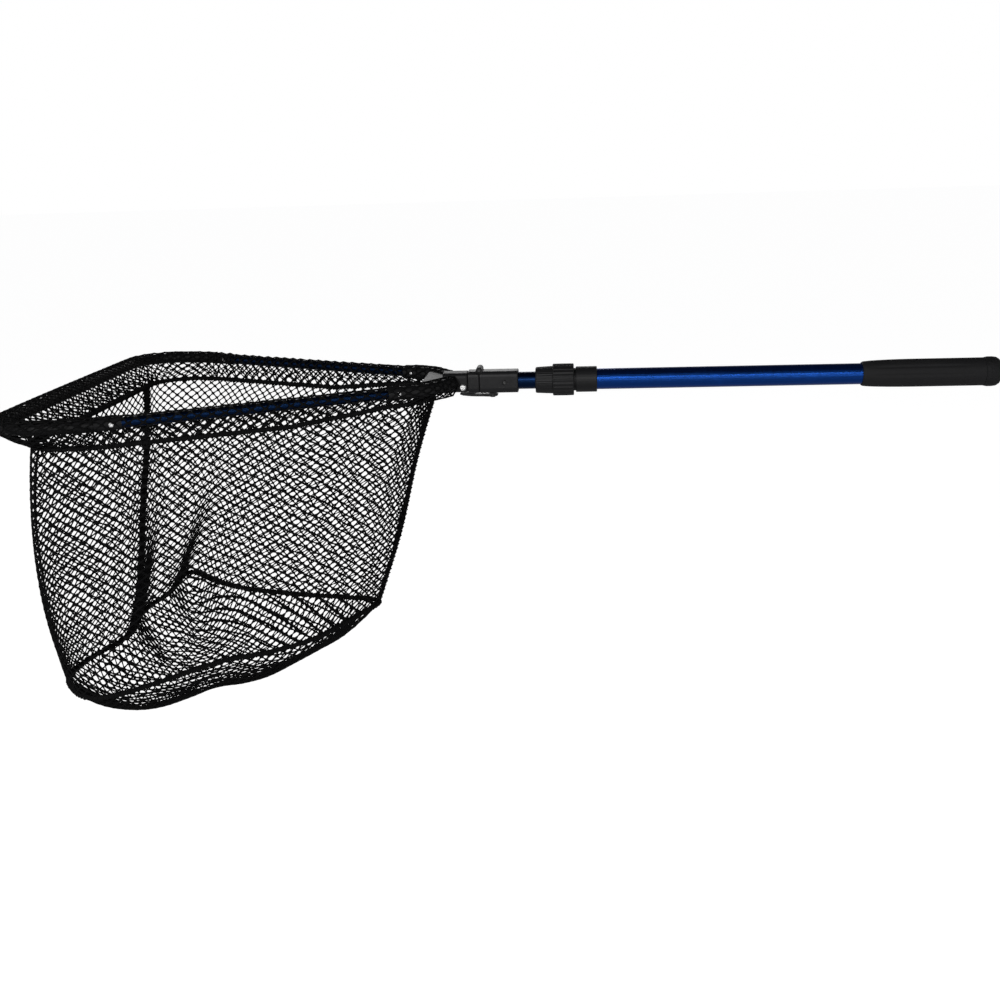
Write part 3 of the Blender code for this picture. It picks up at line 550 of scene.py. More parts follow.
def knitted(name, nodes, normals, faces):
    """Knotless netting along the edges of a mesh: each face becomes a hole with rounded corners,
    and what is left round it is twine, thick at the crossings and round in section."""
    quads = []
    mesh = settings_of("netting")
    half = mesh.twine / 2
    reach = math.hypot(mesh.mesh_width, mesh.mesh_height)
    to_strand = mesh.mesh_width * mesh.mesh_height / (2 * reach)
    fill = 1 - half / to_strand
    crossing_fill = 1 - CROSSING_SPREAD * (1 - fill)
    count = len(nodes)
    edges = {}
    uses = {}
    for face in faces:
        for k, start in enumerate(face):
            pair = (start, face[(k + 1) % len(face)])
            key = tuple(sorted(pair))
            edges.setdefault(key, len(edges))
            uses.setdefault(key, []).append(pair)
    ends = np.array(list(edges))
    middles = nodes[ends].mean(axis=1)
    middle_normals = normals[ends].mean(axis=1)
    raised = normals * half * CROSSING_HEIGHT
    middle_raised = middle_normals * half * TWINE_HEIGHT
    points = [nodes + raised, middles + middle_raised, nodes - raised, middles - middle_raised]
    layer = count + len(edges)
    total = 2 * layer
    for size in (3, 4):
        chosen = [face for face in faces if len(face) == size]
        if not chosen:
            continue
        ring = np.array([
            [index for k in range(size)
             for index in (face[k], count + edges[tuple(sorted((face[k], face[(k + 1) % size])))])]
            for face in chosen
        ])
        flat_points = np.concatenate([nodes, middles])[ring]
        flat_normals = np.concatenate([normals, middle_normals])[ring]
        centre = nodes[np.array(chosen)].mean(axis=1)[:, None, :]
        share = np.tile([crossing_fill, fill], size)[None, :, None]
        hole = centre + (flat_points - centre) * share
        shoulder_share = 1 - (1 - share) * SHOULDER
        shoulder = centre + (flat_points - centre) * shoulder_share
        lift = flat_normals * half * SHOULDER_HEIGHT
        rows, sides = ring.shape
        base = total
        block = rows * sides
        for layer_points in (shoulder + lift, hole, shoulder - lift):
            points.append(layer_points.reshape(-1, 3))
        total += 3 * block
        local = np.arange(block).reshape(rows, sides)
        rings = [ring, local + base, local + base + block, local + base + 2 * block, ring + layer]
        for outer, inner in zip(rings, rings[1:]):
            following = np.roll(outer, -1, axis=1)
            inner_next = np.roll(inner, -1, axis=1)
            quads.append(np.stack([outer, following, inner_next, inner], axis=2).reshape(-1, 4))
    border = []
    for key, pairs in uses.items():
        if len(pairs) == 1:
            start, end = pairs[0]
            middle = count + edges[key]
            for a, b in ((start, middle), (middle, end)):
                border.append((b, a, a + layer, b + layer))
    quads.append(np.array(border))
    made = np.concatenate(points), np.concatenate(quads).tolist()
    return piece_from(name, *made, finish_of("netting"))


NET_SOLIDITY = 0.55
WALL_SEEDS = {"near": 11, "front": 12, "far": 13}
WALL_EDGE_POINTS = 400
WALL_HEIGHTS = 20
FOLDS = 7
FOLD_DEPTH = 0.0032
FOLD_RATES = (3, 10)
FOLD_LEANS = (-9, 9)
FOLD_POWER = 0.6
AREA_GRID = 60
TWINE_WANDER = 0.10
EDGE_MARGIN = 0.001


def wall_surface(top, bottom, bulge_from, bulge_to, seed):
    """A wall of the bag from its hem to the base cord, with shallow folds from top to bottom."""
    upper = resampled(top, WALL_EDGE_POINTS)
    lower = resampled(bottom, WALL_EDGE_POINTS)
    run = (length_of(top) + length_of(bottom)) / 2
    chance = np.random.default_rng(seed)
    ranges = (FOLD_RATES, FOLD_LEANS, (0, math.tau))
    folds = [[chance.uniform(*limits) for limits in ranges] for _ in range(FOLDS)]

    def surface(u, v):
        high = along(upper, u)
        low = along(lower, u)
        point = high + (low - high) * v[:, None]
        out = unit((point - BAG_CENTRE) * (1, 1, 0))
        pull = np.clip(np.sin(math.pi * v), 0, None)
        wave = sum(np.sin(u * run * rate * math.tau + v * lean + phase)
                   for rate, lean, phase in folds) / math.sqrt(FOLDS)
        bulge = (bulge_from + (bulge_to - bulge_from) * u) * pull ** BULGE_POWER
        return point + out * (bulge + FOLD_DEPTH * wave * pull ** FOLD_POWER)[:, None]

    return surface, run


def area_of(surface):
    """Area of a surface(u, v), from a grid of cells."""
    places = np.linspace(0, 1, AREA_GRID)
    v, u = (grid.ravel() for grid in np.meshgrid(places, places, indexing="ij"))
    grid = surface(u, v).reshape(AREA_GRID, AREA_GRID, 3)
    down = grid[1:, :-1] - grid[:-1, :-1]
    across = grid[:-1, 1:] - grid[:-1, :-1]
    return float(np.linalg.norm(np.cross(down, across), axis=2).sum())


def wandered(u, v, across, down, seed):
    """Node places moved a little, as in soft netting, apart from those on an edge."""
    chance = np.random.default_rng(seed)
    inner = (np.abs(u - 0.5) < 0.5 - EDGE_MARGIN) & (np.abs(v - 0.5) < 0.5 - EDGE_MARGIN)
    u = u + chance.normal(0, TWINE_WANDER, len(u)) * inner / (2 * across)
    v = v + chance.normal(0, TWINE_WANDER, len(v)) * inner / (2 * down)
    return np.clip(u, 0, 1), np.clip(v, 0, 1)


def net_on(name, surface, run, tall, seed):
    """Netting laid on a surface(u, v) that is run long and tall high."""
    mesh = settings_of("netting")
    across = round(run / mesh.mesh_width)
    down = round(tall / mesh.mesh_height)
    u, v, faces = diamonds(across, down)
    u, v = wandered(u, v, across, down, seed)
    return knitted(name, surface(u, v), facing(surface, u, v), faces)


def build_wall(side, seed):
    top, bottom, *bulges = wall_edges()[side]
    surface, run = wall_surface(top, bottom, *bulges, seed)
    heights = resampled(top, WALL_HEIGHTS) - resampled(bottom, WALL_HEIGHTS)
    tall = float(np.mean(np.linalg.norm(heights, axis=1)))
    made = net_on(f"bag_wall_{side}", surface, run, tall, seed)
    return made, run, tall, NET_SOLIDITY * min(area_of(surface), run * tall)


BELLY_FOLD = 0.0012
BELLY_FOLDS = 5
BELLY_FOLD_TURN = 14
BELLY_RIM_POINTS = 600
BELLY_STEP = 0.002
BELLY_NET_FROM = (-0.995, -0.21)
BELLY_NET_TO = (-0.645, 0.21)


def belly_point(x, y):
    """How far out from the belly's middle a plan point is, with 1 on the base cord, and where the
    belly is there."""
    rim = resampled(base_line(), BELLY_RIM_POINTS)
    dx, dy = x - BELLY_CENTRE[0], y - BELLY_CENTRE[1]
    rim_x, rim_y = (rim[:, :2] - BELLY_CENTRE).T
    angle = np.arctan2(rim_y, rim_x)
    order = np.argsort(angle)
    heading = np.arctan2(dy, dx)
    reach = np.interp(heading, angle[order], np.hypot(rim_x, rim_y)[order], period=math.tau)
    edge = np.interp(heading, angle[order], rim[order, 2], period=math.tau)
    level = np.hypot(dx, dy) / reach
    clipped = np.minimum(level, 1.0)
    z = edge * clipped + BELLY_LEVEL * (1 - clipped) - BELLY_DEPTH * (1 - clipped ** BELLY_POWER)
    fold = np.sin(BELLY_FOLDS * heading + BELLY_FOLD_TURN * level)
    z = z + BELLY_FOLD * fold * (1 - clipped) * clipped * 4
    shrink = np.where(level > 1, 1 / level, 1.0)
    spread = np.stack([dx, dy], axis=1) * shrink[:, None]
    return level, np.column_stack([BELLY_CENTRE + spread, z])


def build_belly():
    """The netting under the base cord: a flat net laid in it, whose rim is gathered to the cord."""
    mesh = settings_of("netting")
    size = np.subtract(BELLY_NET_TO, BELLY_NET_FROM)
    u, v, faces = diamonds(round(size[0] / mesh.mesh_width), round(size[1] / mesh.mesh_height))
    x = BELLY_NET_FROM[0] + size[0] * u
    y = BELLY_NET_FROM[1] + size[1] * v
    level, points = belly_point(x, y)
    kept = [face for face in faces if sum(level[index] < 1.0 for index in face) >= 2]
    used = sorted({index for face in kept for index in face})
    number = {index: new for new, index in enumerate(used)}
    kept = [[number[index] for index in face] for face in kept]
    ahead = belly_point(x[used] + BELLY_STEP, y[used])[1]
    aside = belly_point(x[used], y[used] + BELLY_STEP)[1]
    normal = np.cross(ahead - points[used], aside - points[used])
    length = np.linalg.norm(normal, axis=1, keepdims=True)
    normal = np.where(length > TINY, normal / np.maximum(length, TINY), (0, 0, 1))
    return knitted("bag_belly", points[used], normal, kept)


CASING_OVER_TUBE = 0.0013
CASING_LOOSE = 0.018
CASING_LOOSE_NEAR = 0.75
CASING_LOOSE_ENDS = 0.7
CASING_LOOSE_SHAPE = 0.8
CASING_STATIONS = 160
CASING_SAMPLES = 48
CASING_SMOOTHING = 3
CASING_LIFT = 0.15
CASING_SWAY = 0.09
SWAY_BELOW = 0.004
SWAY_WAVES = (61, 143)
SWAY_SLANT = 9
HORN_MARGIN = 0.002


def casing_section(radius, drop, lean, loose):
    """The casing's round trip: from the hem up the outer side, over the tube and down again. The
    hem stands inboard by lean, and the outer side hangs loose by up to loose."""
    slack = math.acos(min(1.0, radius / drop))
    turn = np.linspace(-math.pi / 2 - slack, slack - 2.5 * math.pi, CASING_SAMPLES)
    arc = np.stack([radius * np.cos(turn), radius * np.sin(turn)], axis=1)
    outer = np.linspace((0.0, -drop), arc[0], CASING_SAMPLES)[:-1]
    inner = np.linspace(arc[-1], (0.0, -drop), CASING_SAMPLES)[1:]
    section = np.concatenate([outer, arc, inner])
    height = np.clip((section[:, 1] + drop) / (drop + radius), 0, 1)
    slack_here = np.where(section[:, 0] < 0, loose, 0.0)
    belly = np.sin(math.pi * height)
    section[:, 0] += lean * (1 - height) - slack_here * belly ** CASING_LOOSE_SHAPE
    section[:, 1] += CASING_LIFT * slack_here * belly
    return resampled(np.column_stack([section, np.zeros(len(section))]), 3 * CASING_SAMPLES)


def tube_radius(x):
    """The radius of what the casing runs over: the yoke's horn, the arm or the bow."""
    if x > HORN_END[0] + HORN_MARGIN:
        return HORN_RADIUS
    return BOW_RADIUS if x < BOW_END_X else ARM_RADIUS


def casing_surface(path, loose_at, seed):
    """The netting that runs up from the hem, over the hoop and down to the hem again. The inboard
    side of the path is its right."""
    stations = resampled(path, CASING_STATIONS)
    hem = np.concatenate([hem_line(-1), hem_line(1)])
    inboard = np.cross(unit(np.gradient(stations, axis=0)), (0, 0, 1))
    sections = []
    for i, station in enumerate(stations):
        radius = tube_radius(station[0]) + CASING_OVER_TUBE
        apart = np.linalg.norm(hem[:, :2] - station[:2], axis=1)
        below = hem[apart.argmin()]
        place = i / (len(stations) - 1)
        lean = float(apart.min()) if station[0] < HORN_END[0] else 0.0
        sections.append(casing_section(radius, -below[2], lean, loose_at(place)))
    sections = np.array(sections)
    smooth = sections.copy()
    for _ in range(CASING_SMOOTHING):
        smooth[1:-1] = (smooth[:-2] + 2 * smooth[1:-1] + smooth[2:]) / 4

    def surface(u, v):
        at = np.clip(u, 0, 1) * (len(stations) - 1)
        row = np.minimum(at.astype(int), len(stations) - 2)
        share = (at - row)[:, None]
        across = np.clip(v, 0, 1) * (sections.shape[1] - 1)
        column = np.minimum(across.astype(int), sections.shape[1] - 2)
        between = (across - column)[:, None]

        def at_row(index):
            return smooth[index, column] * (1 - between) + smooth[index, column + 1] * between

        local = at_row(row) * (1 - share) + at_row(row + 1) * share
        place = stations[row] * (1 - share) + stations[row + 1] * share
        inwards = inboard[row] * (1 - share) + inboard[row + 1] * share
        hanging = np.clip(-local[:, 1] - SWAY_BELOW, 0, None)
        long, short = SWAY_WAVES
        waves = np.sin(u * long + seed) + np.sin(u * short + v * SWAY_SLANT + 2 * seed)
        sway = CASING_SWAY * hanging * waves
        return place + inwards * (local[:, 0] + sway)[:, None] + np.outer(local[:, 1], (0, 0, 1))

    width = float(np.mean([length_of(section) for section in smooth]))
    return surface, length_of(path), width


def front_looseness(place):
    """How loose the front casing is, from its near end (0) to its far end (1)."""
    arch = max(0.0, math.sin(math.pi * place ** CASING_LOOSE_NEAR))
    return CASING_LOOSE * arch ** CASING_LOOSE_ENDS


def side_looseness(place):
    """The casings on the arms lie against them."""
    return 0.0


# Cords ------------


ACROSS_START = (0.1, 0.2, 1.0)


def tube_mesh(path, radii, sides, closed):
    """Points and faces of a tube along an array path, with a radius at each point."""
    count = len(path)
    if closed:
        forward = unit(np.roll(path, -1, axis=0) - np.roll(path, 1, axis=0))
    else:
        forward = unit(np.gradient(path, axis=0))
    up = np.zeros_like(path)
    up[0] = np.cross(np.cross(forward[0], ACROSS_START), forward[0])
    for i in range(1, count):
        up[i] = up[i - 1] - forward[i] * (up[i - 1] @ forward[i])
        up[i] /= np.linalg.norm(up[i])
    up[0] /= np.linalg.norm(up[0])
    side = np.cross(forward, up)
    angle = (np.arange(sides) * math.tau / sides)[None, :, None]
    ring = side[:, None, :] * np.cos(angle) + up[:, None, :] * np.sin(angle)
    points = (path[:, None, :] + ring * radii[:, None, None]).reshape(-1, 3)
    faces = []
    for i in range(count if closed else count - 1):
        here = i * sides
        following = (i + 1) % count * sides
        for k in range(sides):
            n = (k + 1) % sides
            faces.append((here + k, following + k, following + n, here + n))
    if not closed:
        faces.append(tuple(range(sides)))
        faces.append(tuple((count - 1) * sides + k for k in reversed(range(sides))))
    return points, faces


# Radii of the cords.
HEM_CORD = 0.0030
BASE_CORD = 0.0031
CORNER_CORD = 0.0030
CLOSING_CORD = 0.0042

BASE_CORD_POINTS = 300
SEAM_POINTS = 60
STITCH = 0.0052
CORE_STEP = 0.0017
CORE_SHARE = 0.80
CORE_LUMP = 0.10
CORE_CHANCE = 0.05
CORE_SIDES = 8
THREAD_POINTS = 1200
THREAD_STEPS = 9
THREAD_OUT = 0.86
THREAD_WANDER = 0.05
THREAD_WANDER_RATE = 2.4
THREAD_SHARE = 0.27
THREAD_SIDES = 5
THREAD_START = (0.13, 0.21, 1.0)


def whipped_cord(name, path, radius, closed, seed):
    """A cord bound to the netting by a whipping thread, with the lumps of the mesh under it."""
    total = length_of(path) + (length_of([path[0], path[-1]]) if closed else 0.0)
    route = list(path) + ([path[0]] if closed else [])
    core = resampled(route, int(total / CORE_STEP) + 1)
    if closed:
        core = core[:-1]
    chance = np.random.default_rng(seed)
    at = np.linspace(0, total, len(core))
    lumps = np.sin(at * math.tau / STITCH) * CORE_LUMP + chance.normal(0, CORE_CHANCE, len(core))
    points, faces = tube_mesh(core, radius * CORE_SHARE * (1 + lumps), CORE_SIDES, closed)
    turns = round(total / STITCH)
    place = np.linspace(0, 1, turns * THREAD_STEPS + 1)
    middle = along(resampled(route, THREAD_POINTS), place)
    forward = unit(np.gradient(middle, axis=0))
    side = unit(np.cross(forward, THREAD_START))
    up = np.cross(side, forward)
    turn = place * turns * math.tau
    wander = THREAD_WANDER * np.sin(place * turns * THREAD_WANDER_RATE)
    wobble = radius * (THREAD_OUT + wander)
    thread = middle + (side * np.cos(turn)[:, None] + up * np.sin(turn)[:, None]) * wobble[:, None]
    thickness = np.full(len(thread), radius * THREAD_SHARE)
    more, more_faces = tube_mesh(thread, thickness, THREAD_SIDES, False)
    offset = len(points)
    faces = faces + [tuple(index + offset for index in face) for face in more_faces]
    return piece_from(name, np.concatenate([points, more]), faces, finish_of("cord"))


# Mouldings ------------


MERGE_WITHIN = 1e-6
EASE_FACTOR = 0.5
EASED_FACES_KEPT = 0.5
CREASE_ANGLE = 38


def eased(name, node, voxel, rounds, finish):
    """A copy of a moulding with its corners and joins eased, as they leave the mould."""
    deselect()
    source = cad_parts[node]
    copy = bpy.data.objects.new(name, source.data.copy())
    bpy.context.scene.collection.objects.link(copy)
    bpy.context.view_layer.objects.active = copy
    copy.select_set(True)
    bpy.ops.object.mode_set(mode="EDIT")
    bpy.ops.mesh.select_all(action="SELECT")
    bpy.ops.mesh.remove_doubles(threshold=MERGE_WITHIN)
    bpy.ops.object.mode_set(mode="OBJECT")
    for kind, settings in (
        ("REMESH", {"mode": "VOXEL", "voxel_size": voxel}),
        ("SMOOTH", {"factor": EASE_FACTOR, "iterations": rounds}),
        ("DECIMATE", {"ratio": EASED_FACES_KEPT}),
    ):
        step = copy.modifiers.new(kind.title(), kind)
        for setting, value in settings.items():
            setattr(step, setting, value)
        bpy.ops.object.modifier_apply(modifier=step.name)
    bpy.ops.object.shade_smooth()
    copy.data.materials.clear()
    copy.data.materials.append(finish)
    deselect()
    return copy


def lathed(name, stations, sides, finish):
    """A round body along X: a circle drawn out and scaled from station to station (x, radius),
    with the last circle closed to the first, round a bore."""
    deselect()
    first_x, first_radius = stations[0]
    bpy.ops.mesh.primitive_circle_add(
        vertices=sides, radius=first_radius, location=(first_x, 0, 0), rotation=(0, math.pi / 2, 0)
    )
    made = bpy.context.active_object
    made.name = name
    bpy.ops.object.transform_apply(location=True, rotation=True, scale=True)
    bpy.ops.object.mode_set(mode="EDIT")
    bpy.ops.mesh.select_all(action="SELECT")
    for (x, radius), (next_x, next_radius) in zip(stations, stations[1:]):
        bpy.ops.mesh.extrude_region_move(TRANSFORM_OT_translate={"value": (next_x - x, 0, 0)})
        grown = next_radius / radius
        bpy.ops.transform.resize(value=(1, grown, grown), center_override=(next_x, 0, 0))
    bpy.ops.mesh.select_all(action="DESELECT")
    bpy.ops.mesh.select_mode(type="EDGE")
    bpy.ops.mesh.select_non_manifold(extend=False)
    bpy.ops.mesh.bridge_edge_loops()
    bpy.ops.mesh.select_all(action="SELECT")
    bpy.ops.mesh.normals_make_consistent(inside=False)
    bpy.ops.object.mode_set(mode="OBJECT")
    bpy.ops.object.shade_smooth_by_angle(angle=math.radians(CREASE_ANGLE))
    made.data.materials.append(finish)
    deselect()
    return made


def reshaped(obj, move):
    """Moves each point of a round body by move(x, angle, radius), which gives its new radius."""
    for vert in obj.data.vertices:
        x, y, z = vert.co
        radius = math.hypot(y, z)
        new = move(x, math.atan2(z, y), radius)
        vert.co = (x, y * new / radius, z * new / radius)


# Finishes ------------


def finish_of(name):
    """The finish of that name, made the first time it is asked for."""
    found = bpy.data.materials.get(name)
    if found:
        return found
    handle = settings_of("handle")
    black = tuple(handle.moulding)
    net = tuple(settings_of("netting").colour)
    finishes = {
        "netting": (twine, net),
        "cord": (twine, tinted(net, 1.15), 1700.0),
        "blue anodised tube": (anodised, tuple(handle.tube), 0.27),
        "navy anodised tube": (anodised, tuple(handle.inner), 0.30),
        "navy anodised arm": (anodised, tuple(handle.inner), 0.34),
        "grip rubber": (rubber, tuple(handle.grip)),
        "cap rubber": (rubber, tinted(handle.grip, 0.8), 420.0, 0.0006),
        "black moulding": (moulded, black),
        "lock moulding": (moulded, tinted(black, 1.1), 0.48),
        "head moulding": (moulded, tinted(black, 1.25), 0.40),
        "yoke moulding": (moulded, tinted(black, 0.95), 0.50),
        "coated bow": (powder_coated, tinted(black, 0.95)),
        "bright steel": (bright_metal, (0.66, 0.66, 0.65), 0.28),
        "blackened steel": (bright_metal, (0.055, 0.055, 0.055), 0.42),
        "rivet aluminium": (bright_metal, (0.78, 0.78, 0.77), 0.36),
        "pale nylon": (pale_nylon, (0.62, 0.61, 0.58)),
    }
    maker, *values = finishes[name]
    return maker(name, *values)


def coat(finish, *nodes):
    """Gives CAD pieces a finish, keeping their shape."""
    for name in nodes:
        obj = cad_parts[name]
        obj.data.materials.clear()
        obj.data.materials.append(finish_of(finish))


# Stage ------------


def place_camera():
    yaw, pitch, roll = (math.radians(angle) for angle in (CAMERA_YAW, CAMERA_PITCH, CAMERA_ROLL))
    level = Vector((math.cos(yaw), math.sin(yaw), 0.0))
    onward = Vector((-math.sin(yaw), math.cos(yaw), 0.0))
    ahead = onward * math.cos(pitch) - Vector((0.0, 0.0, math.sin(pitch)))
    upright = level.cross(ahead)
    right = math.cos(roll) * level + math.sin(roll) * upright
    up = math.cos(roll) * upright - math.sin(roll) * level
    camera = bpy.data.objects.new("camera", bpy.data.cameras.new("camera"))
    bpy.context.scene.collection.objects.link(camera)
    turned = Matrix((right, up, -ahead)).transposed().to_4x4()
    camera.matrix_world = Matrix.Translation(CAMERA_PLACE) @ turned
    camera.data.lens = CAMERA_LENS
    camera.data.sensor_width = CAMERA_SENSOR
    camera.data.clip_start = CAMERA_CLIP
    bpy.context.scene.camera = camera


# World: brightness by height, from below upwards.
ROOM_STOPS = ((0.16, (1.0, 1.0, 1.0)), (0.36, (0.05, 0.05, 0.055)))

# Name, place, aim, width and height, and power of each light.
LIGHTS = (
    ("key light", (-1.3, -2.3, 1.1), (-0.6, 0, 0), (1.2, 0.5), 26),
    ("upper strip", (-0.35, -1.7, 0.78), (-0.35, 0, 0), (2.6, 0.07), 9),
    ("lower strip", (-0.35, -1.7, -0.20), (-0.35, 0, 0), (2.6, 0.05), 4),
    ("back light", (-0.9, 2.4, 1.0), (-0.8, 0, -0.1), (1.0, 0.6), 8),
)


def light_room():
    world = bpy.data.worlds.new("studio")
    bpy.context.scene.world = world
    world.use_nodes = True
    tree = world.node_tree
    around = add_node(tree, "TexCoord").outputs["Generated"]
    height = add_node(tree, "SeparateXYZ", Vector=around).outputs["Z"]
    shade = add_node(tree, "ValToRGB", stops=ROOM_STOPS, Fac=height).outputs["Color"]
    feed(tree, tree.nodes["Background"].inputs["Color"], shade)
    for name, place, aim, size, power in LIGHTS:
        data = bpy.data.lights.new(name, "AREA")
        data.shape = "RECTANGLE"
        data.size, data.size_y = size
        data.energy = power * settings_of("studio").light
        light = bpy.data.objects.new(name, data)
        bpy.context.scene.collection.objects.link(light)
        light.location = place
        light.rotation_euler = (Vector(aim) - Vector(place)).to_track_quat("-Z", "Y").to_euler()


FLOOR_SIZE = 60.0
FLOOR_GLOW = 0.95
FLOOR_GLOW_ON_OBJECT = (0.25, 0.25, 0.26)


def lay_floor():
    settings = settings_of("studio")
    deselect()
    bpy.ops.mesh.primitive_plane_add(size=FLOOR_SIZE, location=(0, 0, settings.floor_level))
    floor = bpy.context.active_object
    floor.name = "floor"
    made = Finish("pale floor", 0.9, Specular_IOR_Level=0.0)
    made.colour((*settings.floor_colour, 1.0))
    seen = made.node("LightPath").outputs["Is Camera Ray"]
    glow = made.mixed(seen, FLOOR_GLOW_ON_OBJECT, (1.0, 1.0, 1.0))
    made.feed(made.shader.inputs["Emission Color"], glow)
    made.shader.inputs["Emission Strength"].default_value = FLOOR_GLOW
    floor.data.materials.append(made.material)
    deselect()


# Operators ------------


def stand_in(piece, node, body):
    """A piece that takes a CAD node's place, on its body."""
    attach(piece, body)
    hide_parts(node)


def soft_on_head(piece, node):
    """A soft piece of the bag: it rides on the head, on a mesh of its own."""
    stand_in(piece, node, "head")
    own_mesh(piece)


class NET_OT_stage(bpy.types.Operator):
    """Camera, lights and floor"""

    bl_idname = "landing_net.stage"
    bl_label = "Stage"

    def execute(self, context):
        place_camera()
        light_room()
        lay_floor()
        context.scene.view_settings.view_transform = "Standard"
        return {"FINISHED"}


class NET_OT_walls(bpy.types.Operator):
    """Three walls of netting between the hem and the base cord"""

    bl_idname = "landing_net.walls"
    bl_label = "Bag walls"

    def execute(self, context):
        for side, seed in WALL_SEEDS.items():
            wall, run, tall, area = build_wall(side, seed)
            soft_on_head(wall, f"net_wall_{side}")
        return {"FINISHED"}


class NET_OT_belly(bpy.types.Operator):
    """Netting that hangs in the base cord"""

    bl_idname = "landing_net.belly"
    bl_label = "Bag belly"

    def execute(self, context):
        belly = build_belly()
        soft_on_head(belly, "net_base")
        return {"FINISHED"}


class NET_OT_casing(bpy.types.Operator):
    """Netting folded over the arms and the front bow, down to the hem"""

    bl_idname = "landing_net.casing"
    bl_label = "Casing"

    def execute(self, context):
        line = hoop_line()
        split = next(i for i, point in enumerate(line) if point.x < CASING_SPLIT_X)
        arm = line[:split + 1]
        half = line[split:]
        bow = mirrored(half) + half[-2::-1]
        jobs = (
            ("casing_near", mirrored(arm), side_looseness, 21, "net_sleeve_near"),
            ("casing_far", arm[::-1], side_looseness, 22, "net_sleeve_far"),
            ("casing_front", bow, front_looseness, 23, "net_sleeve_front"),
        )
        for name, path, loose_at, seed, node in jobs:
            surface, run, width = casing_surface(path, loose_at, seed)
            casing = net_on(name, surface, run, width, seed)
            stand_in(casing, node, "head")
            NET_SOLIDITY * run * width
        return {"FINISHED"}


class NET_OT_cords(bpy.types.Operator):
    """Hem, base cord and the two seams"""

    bl_idname = "landing_net.cords"
    bl_label = "Cords and seams"

    @staticmethod
    def rear_edge_of(side):
        """The first upright edge of a wall, which a seam follows."""
        surface = wall_surface(*wall_edges()[side], WALL_SEEDS[side])[0]
        return surface(np.zeros(SEAM_POINTS), np.linspace(0, 1, SEAM_POINTS))

    def execute(self, context):
        hem = np.concatenate([hem_line(-1), hem_line(1)[-2:0:-1]])
        base = resampled(base_line(), BASE_CORD_POINTS)[:-1]
        corner, closing = (self.rear_edge_of(side) for side in ("near", "far"))
        jobs = (
            ("hem_cord_whipped", "hem_cord", hem, HEM_CORD, True, 31),
            ("base_cord_whipped", "base_cord", base, BASE_CORD, True, 32),
            ("yoke_corner_cord", "yoke_corner_seam", corner, CORNER_CORD, False, 33),
            ("closing_cord", "closing_seam", closing, CLOSING_CORD, False, 33),
        )
        for name, node, path, radius, closed, seed in jobs:
            soft_on_head(whipped_cord(name, path, radius, closed, seed), node)
        return {"FINISHED"}


class NET_OT_hoop(bpy.types.Operator):
    """Arms, front bow and rivets"""

    bl_idname = "landing_net.hoop"
    bl_label = "Hoop"

    def execute(self, context):
        coat("navy anodised arm", "near_arm", "far_arm")
        coat("coated bow", "front_bow")
        coat("rivet aluminium",
             "yoke_rivet_near", "yoke_rivet_far", "bow_rivet_near", "bow_rivet_far")
        return {"FINISHED"}


class NET_OT_head(bpy.types.Operator):
    """Yoke, hinge block, socket and latch"""

    bl_idname = "landing_net.head"
    bl_label = "Head joint"

    def execute(self, context):
        jobs = (
            ("yoke", "yoke", 0.0007, 6, "yoke moulding", "yoke", "head"),
            ("hinge_block", "hinge_block", 0.0004, 5, "head moulding", "block", "head"),
            ("head_socket", "head_socket", 0.0004, 5, "head moulding", "socket", "extension"),
            ("latch", "latch_lever", 0.0003, 5, "black moulding", "latch", "latch"),
        )
        for name, node, voxel, rounds, finish, slot, body in jobs:
            made = eased(f"{name}_moulding", node, voxel, rounds, finish_of(finish))
            stand_in(made, node, body)
        coat("bright steel", "yoke_screw", "yoke_screw_nut", "latch_spring")
        coat("blackened steel", "hinge_pin", "latch_pin", "socket_rivet")
        return {"FINISHED"}


GRIP_PROFILE = (
    (-0.0168, 0.0113), (-0.0168, 0.0146), (-0.0300, 0.0146), (-0.0450, 0.0146),
    (-0.0600, 0.0146), (-0.0750, 0.0146), (-0.0900, 0.0146), (-0.1020, 0.0145),
    (-0.1130, 0.0143), (-0.1230, 0.0140), (-0.1320, 0.0136), (-0.1370, 0.0132),
    (-0.1402, 0.0128), (-0.1414, 0.0120), (-0.1414, 0.0113),
)
GRIP_SIDES = 120
GRIP_BORE = 0.0118
FLUTES = 10
FLUTE_DEPTH = 0.0006
FLUTES_FROM = -0.128
FLUTES_TO = -0.030
NUT_PROFILE = (
    (-0.4430, 0.0124), (-0.4430, 0.0162), (-0.4436, 0.0169), (-0.4500, 0.0170),
    (-0.4580, 0.0170), (-0.4648, 0.0169), (-0.4654, 0.0162), (-0.4656, 0.0147),
    (-0.4700, 0.0145), (-0.4760, 0.0142), (-0.4820, 0.0139), (-0.4832, 0.0136),
    (-0.4838, 0.0130), (-0.4838, 0.0096), (-0.4715, 0.0096), (-0.4705, 0.0107),
    (-0.4628, 0.0124),
)
NUT_SIDES = 216
NUT_RIBS = 24
NUT_RIB_DEPTH = 0.0006
NUT_RIB_SQUARENESS = 4
NOSE_RIBS = 36
NOSE_RIB_DEPTH = 0.0003
RING_FLOOR = 0.0160
NOSE_FLOOR = 0.0132


def fluted(x, angle, radius):
    """Shallow grooves along the middle of the grip."""
    if radius < GRIP_BORE or not FLUTES_FROM < x < FLUTES_TO:
        return radius
    groove = max(0.0, math.cos(FLUTES * angle)) ** 2
    return radius - FLUTE_DEPTH * groove


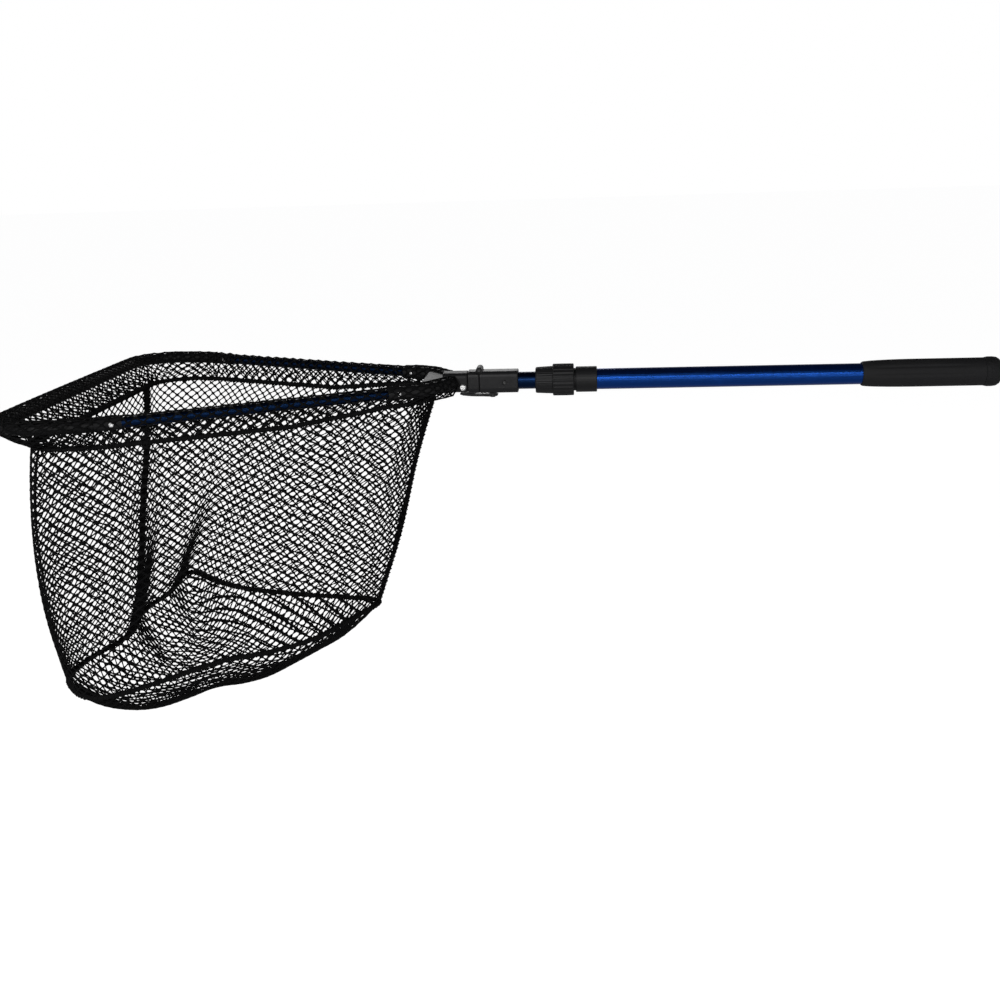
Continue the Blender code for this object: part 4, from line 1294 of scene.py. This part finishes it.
def ribbed(x, angle, radius):
    """Ribs round the nut's ring, and finer ones round its nose."""
    if radius > RING_FLOOR:
        wave = math.tanh(NUT_RIB_SQUARENESS * math.cos(NUT_RIBS * angle))
        return radius - NUT_RIB_DEPTH * (0.5 + 0.5 * wave)
    if radius > NOSE_FLOOR:
        return radius - NOSE_RIB_DEPTH * (0.5 + 0.5 * math.cos(NOSE_RIBS * angle))
    return radius


class NET_OT_handle(bpy.types.Operator):
    """Tubes, lock and grip"""

    bl_idname = "landing_net.handle"
    bl_label = "Handle"

    def execute(self, context):
        coat("blue anodised tube", "outer_tube")
        coat("navy anodised tube", "inner_tube")
        coat("pale nylon", "lock_collet", "tube_guide")
        coat("lock moulding", "lock_base")
        coat("cap rubber", "grip_end_cap")
        grip = lathed("grip_fluted", GRIP_PROFILE, GRIP_SIDES, finish_of("grip rubber"))
        reshaped(grip, fluted)
        nut = lathed("lock_nut_ribbed", NUT_PROFILE, NUT_SIDES, finish_of("lock moulding"))
        reshaped(nut, ribbed)
        stand_in(grip, "grip", "handle")
        stand_in(nut, "lock_nut", "lock_nut")
        return {"FINISHED"}


class NET_PT_panel(bpy.types.Panel):
    """Lists what the landing net is made of"""

    bl_idname = "NET_PT_panel"
    bl_label = "Landing net"
    bl_space_type = "VIEW_3D"
    bl_region_type = "UI"
    bl_category = "Landing net"

    def draw(self, context):
        for group in GROUPS:
            settings = getattr(context.scene, group)
            box = self.layout.box()
            for name in settings.__annotations__:
                box.prop(settings, name)
        for operator in OPERATORS:
            self.layout.operator(operator.bl_idname)


GROUPS = {
    "landing_net_netting": NettingSettings,
    "landing_net_handle": HandleSettings,
    "landing_net_studio": StudioSettings,
}
OPERATORS = (NET_OT_stage, NET_OT_walls, NET_OT_belly, NET_OT_casing, NET_OT_cords, NET_OT_hoop,
             NET_OT_head, NET_OT_handle)
CLASSES = (*GROUPS.values(), *OPERATORS, NET_PT_panel)


def register():
    for cls in CLASSES:
        bpy.utils.register_class(cls)
    for name, group in GROUPS.items():
        setattr(bpy.types.Scene, name, bpy.props.PointerProperty(type=group))


def unregister():
    for name in GROUPS:
        delattr(bpy.types.Scene, name)
    for cls in reversed(CLASSES):
        bpy.utils.unregister_class(cls)


def main():
    register()
    for operator in OPERATORS:
        group, name = operator.bl_idname.split(".")
        getattr(getattr(bpy.ops, group), name)()


if __name__ == "__main__":
    main()
